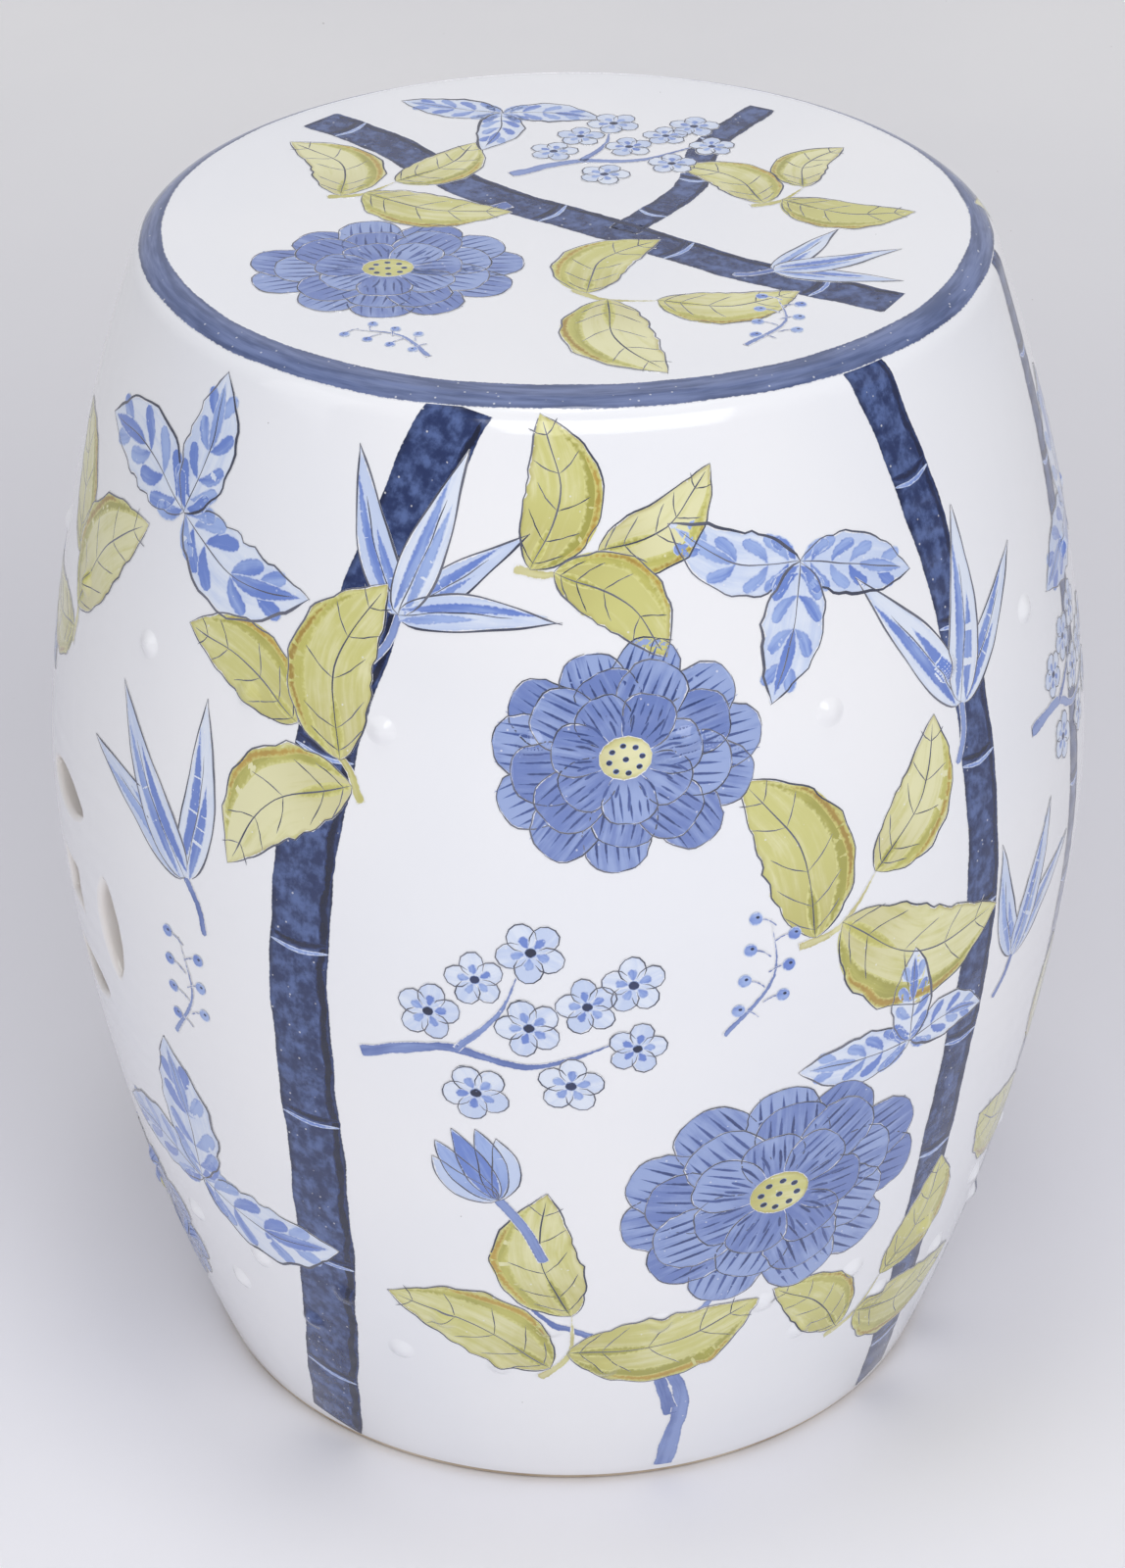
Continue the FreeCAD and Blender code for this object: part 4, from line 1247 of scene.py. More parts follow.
@dataclass(frozen=True)
class Spray:
    """One painted piece: its kind, its place, its tilt in degrees and its size in millimetres.

    On the side the place is (degrees right of the view's middle, height); on the seat it is (right, away)
    from the middle. Points are the line that a cane, stem or twig follows from there.
    """

    kind: Motif
    place: tuple[float, float]
    tilt: float = 0.0
    size: float = 60.0
    points: tuple[tuple[float, float], ...] = ()
    seat: bool = False

    def paint(self, name: str, skin: Skin, glaze: Glaze, seed: int) -> Piece:
        """Paint the piece on the glaze."""
        layer = {Motif.CANE: 0, Motif.STEM: 3, Motif.FAN: 5, Motif.TRIO: 5, Motif.GREEN: 5}.get(self.kind, 10)
        sheet = SeatGround if self.seat else SideGround
        painter = Painter(name, sheet(skin, *self.place, self.tilt), glaze, layer, seed)
        hands = {Motif.CANE: self.paint_cane, Motif.STEM: self.paint_stem, Motif.FAN: self.paint_fan,
                 Motif.TRIO: self.paint_trio, Motif.GREEN: self.paint_green, Motif.LOTUS: self.paint_lotus,
                 Motif.BUD: self.paint_bud, Motif.PLUM: self.paint_plum, Motif.BERRIES: self.paint_berries}
        hands[self.kind](painter)
        return painter.finish()

    def sized(self, *points: tuple[float, float]) -> list[tuple[float, float]]:
        """Points given in shares of the piece's size, in millimetres."""
        return [(self.size * across, self.size * up) for across, up in points]

    def paint_cane(self, painter: Painter) -> None:
        """A thick navy cane with an inky shadow down one side and a ring at each joint."""
        width = self.size
        line, left, right = painter.stroke(self.points, width, Shape.POST, Paint.BARK, 0, 0.035, 9, tone=0.6)
        way, across = walked(line), sideways(line)
        shade = line * 0.22 + right * 0.78
        painter.stroke(shade[2:-2:4], width * 0.15, Shape.STEM, Paint.JOINT, 1, 0.35, 17)
        stops = np.arange(width * 3.5, way[-1] - width, width * 6.2)
        for stop in stops:
            at = int(np.argmin(np.abs(way - stop)))
            ring = np.stack([left[at] * 0.98 + line[at] * 0.02, line[at], right[at] * 0.98 + line[at] * 0.02])
            slope = np.array([across[at, 1], -across[at, 0]])
            painter.stroke(ring + slope * np.array([[0.6], [-1.6], [0.6]]), 1.5, Shape.DAB, Paint.JOINT, 2)
            painter.stroke(ring + slope * np.array([[-2.6], [-4.6], [-2.6]]), 0.9, Shape.DAB, Paint.STROKE, 2)

    def paint_stem(self, painter: Painter) -> None:
        """A blue stem."""
        painter.stroke(self.points, self.size, Shape.TAPER, Paint.STEM, 0, 0.10, 5)

    def paint_fan(self, painter: Painter) -> None:
        """Three or four bamboo leaves from one node, on a short twig."""
        twig = [*self.sized((0, -0.4), (0.04, -0.2)), (0, 2)]
        painter.stroke(twig, 1.5, Shape.STEM, Paint.STEM)
        for number, turn in enumerate((128, 92, 58, 20)):
            if number < 3 or painter.random.random() < 0.5:
                length = self.size * (1.05 + 0.35 * painter.random.random())
                angle = turn + painter.random.random() * 8
                painter.blade((0, 0), angle, length, length * 0.115, 1 + 3 * (number % 2))

    def paint_trio(self, painter: Painter) -> None:
        """Three broad pale leaves round a node."""
        for number, turn in enumerate((150, 62, -35)):
            length = self.size * (1.2 + 0.35 * painter.random.random())
            angle = turn + painter.random.random() * 14
            painter.pale_leaf((0, 0), angle, length, length * 0.23, 5 * (number % 2))

    def paint_green(self, painter: Painter) -> None:
        """A short green stem with three yellow-green leaves."""
        stem = self.sized((0, 0), (0.3, 0.12), (0.55, 0.5))
        painter.stroke(stem, 1.9, Shape.TAPER, Paint.LEAF, 0, 0.1, 3)
        leaves = (((0.12, 0.06), 118, 1.0), ((0.30, 0.14), -18, 1.05), ((0.52, 0.46), 62, 0.9))
        for number, (root, turn, share) in enumerate(leaves):
            length = self.size * share * (1.15 + 0.25 * painter.random.random())
            angle = turn + painter.random.random() * 12
            painter.green_leaf(*self.sized(root), angle, length, length * 0.25, 1 + 4 * (number % 2))

    def paint_lotus(self, painter: Painter) -> None:
        """A large lotus."""
        painter.lotus(self.size)

    def paint_bud(self, painter: Painter) -> None:
        """A bud on a short thick stem."""
        stem = self.sized((0, -1), (0.05, -0.5), (0, 0))
        painter.stroke(stem, self.size * 0.06, Shape.STEM, Paint.STEM)
        painter.bud((0, -1), 90, self.size, 1)

    def paint_plum(self, painter: Painter) -> None:
        """A twig of plum blossom, thickest at its root, with a side shoot."""
        twig = self.sized((0, 0), (0.45, 0.16), (0.9, 0.12), (1.4, 0.36))
        painter.stroke(twig, 2.6, Shape.TAPER, Paint.STEM, 0, 0.12, 5)
        shoot = self.sized((0.5, 0.16), (0.7, 0.42), (0.78, 0.7))
        painter.stroke(shoot, 1.7, Shape.TAPER, Paint.STEM, 0, 0.1, 3)
        blossoms = self.sized((0.34, 0.36), (0.62, -0.10), (0.56, 0.60), (0.86, 0.36), (0.82, 0.80),
                              (1.10, 0.02), (1.14, 0.52), (1.42, 0.28), (1.36, 0.66))
        for number, place in enumerate(blossoms):
            reach = self.size * (0.155 + 0.03 * painter.random.random())
            painter.plum(place, reach, 2 + 5 * (number % 2))

    def paint_berries(self, painter: Painter) -> None:
        """A thin twig with berries to both sides."""
        painter.stroke(self.sized((0, 0), (0.3, 0.5), (0.2, 1)), 1.2, Shape.TAPER, Paint.STEM)
        for number in range(7):
            rise = 0.22 + number * 0.13
            hand = 1 if number % 2 else -1
            stalk = self.sized((0.25, rise - 0.06), (0.25 + hand * 0.08, rise - 0.01), (0.24 + hand * 0.17, rise))
            painter.stroke(stalk, 0.4, Shape.STEM, Paint.STEM, 1)
            painter.berry(np.array(stalk[-1]), self.size * 0.055, 2)


@dataclass(frozen=True)
class RimBand:
    """The blue band over the seat's edge, painted in a few strokes end to end.

    Its edges are given in millimetres from the seat's middle at degrees from the front.
    """

    skin: Skin
    inner: tuple = ((0, 134.2), (27, 136.7), (56, 140.3), (90, 143.5), (180, 146.8))
    outer: tuple = ((0, 149.8), (50, 152.2), (100, 153.4), (180, 154.0))
    strokes: int = 6
    columns: int = 12
    rows: int = 64
    lift: float = 0.16 * MM
    under: float = -0.15 * MM
    waver: float = 0.7
    map_turn: float = 1.5

    def build(self, glaze: Glaze) -> list[Piece]:
        """Paint the strokes, each overlapping none, from the brush's first touch round to its last."""
        return [self.stroke(number, glaze) for number in range(self.strokes)]

    def edge_at(self, table: Points, turn: Array) -> Array:
        """One edge of the band: its table, wavering by a sum of sines of the angle.

        Args:
            table: degrees from the front and millimetres from the seat's middle.
            turn: angles round the barrel.
        Returns:
            Millimetres from the seat's middle.
        """
        away = np.degrees(np.abs(np.mod(turn - VIEW_TURN + math.pi, FULL_TURN) - math.pi))
        waver = 0.35 * np.sin(5 * turn + 1) + 0.25 * np.sin(13 * turn) + 0.15 * np.sin(29 * turn + table[0][1])
        return np.interp(away, *np.transpose(table)) + waver * self.waver

    def stroke(self, number: int, glaze: Glaze) -> Piece:
        """One stroke of the band: a closed strip over the edge of the seat."""
        shell = Shell(f"rim_band_{number + 1}", ("edge", "along", "tone"))
        shell.wear(Paint.BAND.value.material(glaze))
        turn = (number + np.linspace(0, 1, self.rows + 1)) * FULL_TURN / self.strokes
        inner, outer = self.edge_at(self.inner, turn)[:, None], self.edge_at(self.outer, turn)[:, None]
        share = np.linspace(0, 1, self.columns + 1)[None]
        ways = inner * (1 - share) + outer * share
        edge = np.minimum(ways - inner, outer - ways)
        around = shell.wrapped(self.columns)
        lifts = np.full((len(turn), len(around)), self.lift)
        lifts[:, self.columns + 1:self.columns + 3] = self.under
        grid = self.skin.place(turn[:, None], ways[:, around] * MM, lifts)
        walk = np.repeat(turn[:, None], self.columns + 1, 1) * self.map_turn
        drawn = np.stack([walk, ways / Painter.map_scale], -1)
        shell.cap(shell.add_grid(grid, flip=True, mapping=drawn[:, around], edge=edge[:, around], along=1.0,
                                 tone=0.5))
        piece = shell.build(weld=WELD / 2)
        piece.data.set_sharp_from_angle(angle=math.radians(50))
        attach(piece, BODY)
        return piece


# the glazed barrel


@dataclass(frozen=True)
class Coin:
    """A pierced coin: four lens openings round a middle one with hollow sides, cut straight through along X."""

    height: float = 220 * MM
    reach: float = 39 * MM
    lens_length: float = 41 * MM
    lens_width: float = 15 * MM
    hole_size: float = 18 * MM
    hole_hollow: float = 0.8 * MM
    panel: float = 60 * MM
    core: float = 20 * MM
    tip: float = 0.9 * MM
    lip: float = 2.4 * MM
    inner_lip: float = 1.2 * MM
    panel_cells: int = 32
    seam_cells: int = 16
    core_cells: int = 16
    squareness: int = 14

    def lens(self, share: Array) -> Array:
        """Lens outline: two equal arcs whose ends are softened, walked once from the right tip over the top.

        Args:
            share: how far round, 0 to 1, with 0 at the right tip and 0.5 at the left one.
        Returns:
            Points (sideways, upwards) from the lens's middle.
        """
        half, rise = self.lens_length / 2, self.lens_width / 2
        angle = share * FULL_TURN
        across = half * np.cos(angle)
        arc = (half ** 2 + rise ** 2) / (2 * rise)
        bow = np.sqrt(arc ** 2 - across ** 2) - (arc - rise)
        soft = np.sqrt(bow ** 2 + 2 * self.tip * bow) * rise / math.sqrt(rise ** 2 + 2 * self.tip * rise)
        return np.stack([across, soft * np.sign(np.sin(angle)) * (np.abs(np.sin(angle)) > 1e-9)], -1)

    def hole(self, share: Array) -> Array:
        """Outline of the middle opening: a square with softened corners whose sides bow inwards.

        The square is the unit circle pushed out to a superellipse of a high power, less the bow of each side.
        """
        angle = share * FULL_TURN + math.pi / 4
        cosine, sine = np.cos(angle), np.sin(angle)
        reach = (np.abs(cosine) ** self.squareness + np.abs(sine) ** self.squareness) ** (-1 / self.squareness)
        half = self.hole_size / 2
        point = np.stack([cosine * reach, sine * reach], -1) * half
        along = np.minimum(np.abs(point[:, 0]), np.abs(point[:, 1])) / half
        bow = self.hole_hollow * (1 - along ** 2)
        main = np.abs(point) >= np.abs(point[:, ::-1])
        return point - np.sign(point) * main * bow[:, None]


class CoinPanel:
    """The square of wall round one coin: five cells with a hole in each, from the outer face to the inner one."""

    def __init__(self, skin: Skin, coin: Coin, side: int) -> None:
        """Lay the panel on the +X side (1) or the -X side (-1)."""
        self.skin, self.coin, self.side = skin, coin, side

    def outer(self, flat: Array) -> Array:
        """Points of the outer face at (sideways, height), sideways to the right as seen from outside."""
        section = self.skin.section
        radius = section.radius(flat[..., 1])
        turn = np.arcsin(flat[..., 0] / radius) + (0.0 if self.side > 0 else math.pi)
        return self.skin.place(turn, section.way_at(flat[..., 1]))

    def inner(self, flat: Array) -> Array:
        """Points of the inner face at (sideways, height)."""
        section = self.skin.section
        radius = section.radius(flat[..., 1], section.wall)
        depth = np.sqrt(radius ** 2 - flat[..., 0] ** 2)
        return np.stack([self.side * depth, self.side * flat[..., 0], flat[..., 1]], -1)

    def offset(self, curve: Array, amount: float) -> Array:
        """A closed curve moved outwards along its normals, which are its chords turned a quarter."""
        chord = np.roll(curve, -1, 0) - np.roll(curve, 1, 0)
        normal = np.stack([chord[:, 1], -chord[:, 0]], -1)
        return curve + normal / np.linalg.norm(normal, axis=1, keepdims=True) * amount

    def lip(self, face: Callable[[Array], Array], curve: Array, reach: float, angles: Array) -> Array:
        """Rows of a rounded lip: a quarter circle from a face into the hole.

        Args:
            face: the outer or the inner face.
            curve: the hole's outline.
            reach: the lip's radius, negative where it turns inwards from the outer face.
            angles: angles round the lip.
        Returns:
            One row of points for each angle.
        """
        rows = [face(self.offset(curve, abs(reach) * (1 - math.sin(angle)))) for angle in angles]
        for row, angle in zip(rows, angles):
            row[:, 0] += self.side * reach * (1 - math.cos(angle))
        return np.stack(rows)

    def add_cell(self, shell: Shell, curve: Array, border: Array, rings: int) -> None:
        """Add the wall between a border and a hole: outer face, rounded lip, straight cut, lip and inner face.

        Args:
            shell: the mesh to add to.
            curve: the hole's outline, points (sideways, height), against the clock.
            border: as many points on the cell's border, in the same order.
            rings: rows between the border and the lip.
        """
        coin = self.coin
        shares = np.linspace(0, 1, rings + 1)[:, None, None] ** 0.8
        lip_curve, inner_curve = self.offset(curve, coin.lip), self.offset(curve, coin.inner_lip)
        face = border[None] * (1 - shares) + lip_curve[None] * shares
        rows = [self.outer(face)]
        thin = [np.zeros(face.shape[:2])]
        quarter = np.linspace(0, math.pi / 2, 7)[1:, None]
        rows.append(self.lip(self.outer, curve, -coin.lip, quarter[:, 0]))
        thin.append(np.repeat(0.25 + 0.55 * np.sin(quarter), len(curve), 1))
        last = rows[-1][-1]
        inner_lip = self.lip(self.inner, curve, coin.inner_lip, quarter[::-1, 0])
        steps = np.linspace(0, 1, 5)[1:-1, None, None]
        rows.append(last[None] * (1 - steps) + inner_lip[0][None] * steps)
        thin.append(np.full((3, len(curve)), 0.85))
        rows.append(inner_lip)
        thin.append(np.full((len(inner_lip), len(curve)), 0.9))
        back = inner_curve[None] * (1 - shares) + border[None] * shares
        rows.append(self.inner(back))
        thin.append(np.full(back.shape[:2], 1.0))
        grid, thin_grid = np.concatenate(rows), np.concatenate(thin)
        depth = np.concatenate([np.zeros(len(rows[0]) + len(rows[1]) + len(rows[2])), np.full(len(rows[3]), 0.4),
                                np.ones(len(rows[4]))])
        grid = np.concatenate([grid, grid[:, :1]], 1)
        thin_grid = np.concatenate([thin_grid, thin_grid[:, :1]], 1)
        shell.add_grid(grid, flip=True, thin=thin_grid, bare=np.repeat(depth[:, None], grid.shape[1], 1))

    def add_to(self, shell: Shell) -> None:
        """Add all five cells: one lens in each quarter of the panel and the hollow square in the middle."""
        coin = self.coin
        centre = np.array([0.0, coin.height])
        wide, core = coin.panel, coin.core

        def side(start: tuple[float, float], end: tuple[float, float], cells: int) -> Array:
            """Points from a corner up to, but without, the next one."""
            share = np.arange(cells)[:, None] / cells
            return np.array(start) * (1 - share) + np.array(end) * share

        seam = coin.seam_cells
        border = np.concatenate([side((core, core), (wide, wide), seam),
                                 side((wide, wide), (-wide, wide), coin.panel_cells),
                                 side((-wide, wide), (-core, core), seam),
                                 side((-core, core), (core, core), coin.core_cells)])
        border = np.roll(border, -(seam // 2), 0)
        upper, lower = seam + coin.panel_cells, seam + coin.core_cells
        share = np.concatenate([np.arange(upper) / upper * 0.5, 0.5 + np.arange(lower) / lower * 0.5])
        lens = self.even(coin.lens, share) + np.array([0.0, coin.reach])
        for quarter in range(4):
            angle = quarter * math.pi / 2
            turn = np.array([[math.cos(angle), math.sin(angle)], [-math.sin(angle), math.cos(angle)]])
            self.add_cell(shell, lens @ turn + centre, border @ turn + centre, 9)
        count = coin.core_cells
        corners = ((core, core), (-core, core), (-core, -core), (core, -core), (core, core))
        core_border = np.concatenate([side(start, end, count) for start, end in zip(corners, corners[1:])])
        hole = self.even(coin.hole, np.arange(4 * count) / (4 * count))
        self.add_cell(shell, hole + centre, core_border + centre, 4)

    def even(self, outline: Callable[[Array], Array], share: Array) -> Array:
        """Walk an outline at an even pace: look up shares of its length instead of its angle."""
        fine = np.linspace(0, 1, 2001)
        points = outline(fine)
        way = np.concatenate([[0.0], np.cumsum(np.linalg.norm(np.diff(points, axis=0), axis=1))])
        way /= way[-1]
        return np.stack([np.interp(share, way, points[:, 0]), np.interp(share, way, points[:, 1])], -1)


@dataclass(frozen=True)
class Barrel:
    """The glazed barrel with its seat: one skin over the three wall rings and the slab."""

    skin: Skin = field(default_factory=Skin)
    coin: Coin = field(default_factory=Coin)
    front_columns: int = 104
    rows_above: int = 34
    rows_below: int = 34
    edge_rows: int = 12
    top_rings: int = 22
    glaze_end: float = 3.2 * MM
    inside_rows: int = 16
    inside_end: float = 12 * MM
    rolled: tuple = ((0.10, 0.16), (0.30, 0.22), (0.60, 0.16), (2.0, 0.10))

    def columns(self, radius: Array) -> Array:
        """Angles of the grid's columns for rows of the given radii.

        Beside a coin panel the columns keep an even distance sideways, and between the panels an even angle.
        """
        radius = np.atleast_1d(radius)[:, None]
        across = np.linspace(-1, 1, self.coin.panel_cells + 1)[None] * self.coin.panel
        panel = np.arcsin(across / radius)
        edge = panel[:, -1:]
        share = np.linspace(0, 1, self.front_columns + 1)[None, 1:-1]
        between = edge + share * (math.pi - 2 * edge)
        return np.concatenate([panel, between, panel + math.pi, between + math.pi, panel[:, :1] + FULL_TURN], 1)

    def build(self, glaze: Glaze) -> Piece:
        """Build the whole shell, outside and inside, and dress it."""
        shell = Shell("glazed_barrel", ("thin", "bare"))
        shell.wear(glaze.plain())
        section, coin = self.skin.section, self.coin
        low, high = coin.height - coin.panel, coin.height + coin.panel
        above = np.linspace(section.edge_end_height, high, self.rows_above + 1)
        shoulder_turns = self.columns(np.array([section.shoulder_radius]))
        self.add_top(shell, shoulder_turns)
        self.add_rows(shell, above, shoulder_turns)
        below = np.linspace(low, self.glaze_end, self.rows_below + 1)
        self.add_rows(shell, below, shoulder_turns)
        middle = np.linspace(high, low, coin.panel_cells + 1)
        self.add_between(shell, middle)
        self.add_glaze_lip(shell)
        self.add_inside(shell, high, low)
        for side in (1, -1):
            CoinPanel(self.skin, coin, side).add_to(shell)
        return shell.build(weld=WELD)

    def turns_at(self, heights: Array, shoulder_turns: Array) -> Array:
        """Angles of the columns at each height, fixed above the shoulder."""
        section = self.skin.section
        turns = self.columns(section.radius(np.minimum(heights, section.shoulder_height)))
        return np.where((heights >= section.shoulder_height)[:, None], shoulder_turns, turns)

    def add_rows(self, shell: Shell, heights: Array, shoulder_turns: Array) -> None:
        """Add full rings of the outer face between heights."""
        turns = self.turns_at(heights, shoulder_turns)
        ways = self.skin.section.way_at(heights)
        shell.add_grid(self.skin.place(turns, ways[:, None]))

    def add_between(self, shell: Shell, heights: Array) -> None:
        """Add the outer face in front and behind, between the two coin panels."""
        turns = self.columns(self.skin.section.radius(heights))
        ways = self.skin.section.way_at(heights)
        first = self.coin.panel_cells
        for start in (first, 2 * first + self.front_columns):
            part = turns[:, start:start + self.front_columns + 1]
            shell.add_grid(self.skin.place(part, ways[:, None]))

    def add_top(self, shell: Shell, turns: Array) -> None:
        """Add the rounded edge and the flat top, in rings that close on a middle point."""
        section = self.skin.section
        flat = section.flat_radius
        rings = np.linspace(0.06, 1, self.top_rings) ** 0.9 * flat
        edge = np.linspace(flat, section.way_at(section.edge_end_height), self.edge_rows + 1)[1:]
        ways = np.concatenate([rings, edge])
        grid = shell.add_grid(self.skin.place(np.repeat(turns, len(ways), 0), ways[:, None]))
        middle = shell.add_points(self.skin.place(np.array([0.0]), np.array([0.0])))
        shell.fan(grid[0, :-1], int(middle[0]))

    def add_glaze_lip(self, shell: Shell) -> None:
        """Roll the glaze's lower edge inwards on to the clay foot, by millimetres inward and down."""
        section = self.skin.section
        radius = float(section.radius(self.glaze_end))
        turns = self.columns(np.array([radius]))
        outer = self.skin.place(turns, section.way_at(self.glaze_end))[0]
        rows = [outer]
        for inward, down in self.rolled:
            row = outer.copy()
            shrink = 1 - inward * MM / radius
            row[:, :2] *= shrink
            row[:, 2] -= down * MM
            rows.append(row)
        shell.add_grid(np.stack(rows))

    def add_inside(self, shell: Shell, high: float, low: float) -> None:
        """Add the inner face, from the foot ring up to the slab, and the slab's underside.

        Args:
            shell: the mesh to add to.
            high: upper edge of the coin panels.
            low: lower edge of them.
        """
        section, first, front = self.skin.section, self.coin.panel_cells, self.front_columns
        under = section.shoulder_height - section.seat_step
        whole = ((0, None),)
        between = ((first, first + front + 1), (2 * first + front, 2 * first + 2 * front + 1))
        bands = ((low, self.inside_end, self.inside_rows, whole), (high, low, first + 1, between),
                 (under, high, self.inside_rows, whole))
        for start, end, rows, spans in bands:
            heights = np.linspace(start, end, rows)
            turns = self.columns(section.radius(heights, section.wall))
            radius = section.radius(heights, section.wall)[:, None]
            up = np.repeat(heights[:, None], turns.shape[1], 1)
            grid = np.stack([radius * np.cos(turns), radius * np.sin(turns), up], -1)
            for left, right in spans:
                shell.add_grid(grid[:, left:right], flip=True, thin=1.0, bare=1.0)
        reach = float(section.radius(under, section.wall))
        turns = self.columns(np.array([reach]))[0]
        radius = reach * np.linspace(0, 1, 9)[1:, None]
        up = np.full((len(radius), len(turns)), under)
        disc = np.stack([radius * np.cos(turns), radius * np.sin(turns), up], -1)
        grid = shell.add_grid(disc, flip=True, thin=1.0, bare=1.0)
        middle = shell.add_points(np.array([[0.0, 0.0, under]]), thin=1.0, bare=1.0)
        shell.fan(grid[0, :-1][::-1], int(middle[0]))


@dataclass(frozen=True)
class Foot:
    """The bare clay ring that shows as a thin line under the glaze."""

    skin: Skin = field(default_factory=Skin)
    height: float = 12 * MM
    width: float = 25 * MM
    bevel: float = 1.5 * MM
    recess: float = 0.65 * MM
    columns: int = 240

    def build(self, clay: Clay) -> Piece:
        """Turn the foot's closed section about the axis."""
        section = self.skin.section
        outer = section.foot_radius
        heights = np.array([12.0, 6.0, 3.0, 1.5]) * MM
        side = [(float(section.radius(height)) - self.recess, float(height)) for height in heights]
        under = [(outer - 0.5 * MM - self.recess, 0.5 * MM), (outer - self.bevel - self.recess, 0.05 * MM),
                 (outer - 2.4 * MM, 0.0), (outer - self.width * 0.5, 0.0), (outer - self.width + 1.0 * MM, 0.0),
                 (outer - self.width + 0.3 * MM, 0.3 * MM), (outer - self.width, 1.0 * MM)]
        top = [(outer - self.width, self.height - 1 * MM), (outer - self.width + 1 * MM, self.height), side[0]]
        path = np.array(side + under + top)
        turns = np.linspace(0, FULL_TURN, self.columns + 1)[None]
        radius, height = path[:, :1], path[:, 1:]
        up = np.repeat(height, turns.shape[1], 1)
        shell = Shell("clay_foot")
        shell.wear(clay.material())
        shell.add_grid(np.stack([radius * np.cos(turns), radius * np.sin(turns), up], -1))
        return shell.build(weld=WELD)


# studio


@dataclass(frozen=True)
class Lamp:
    """A soft box: its place and its aim, each as degrees right of the camera, height and distance."""

    name: str
    place: tuple[float, float, float]
    aim: tuple[float, float, float]
    size: tuple[float, float]
    power: float


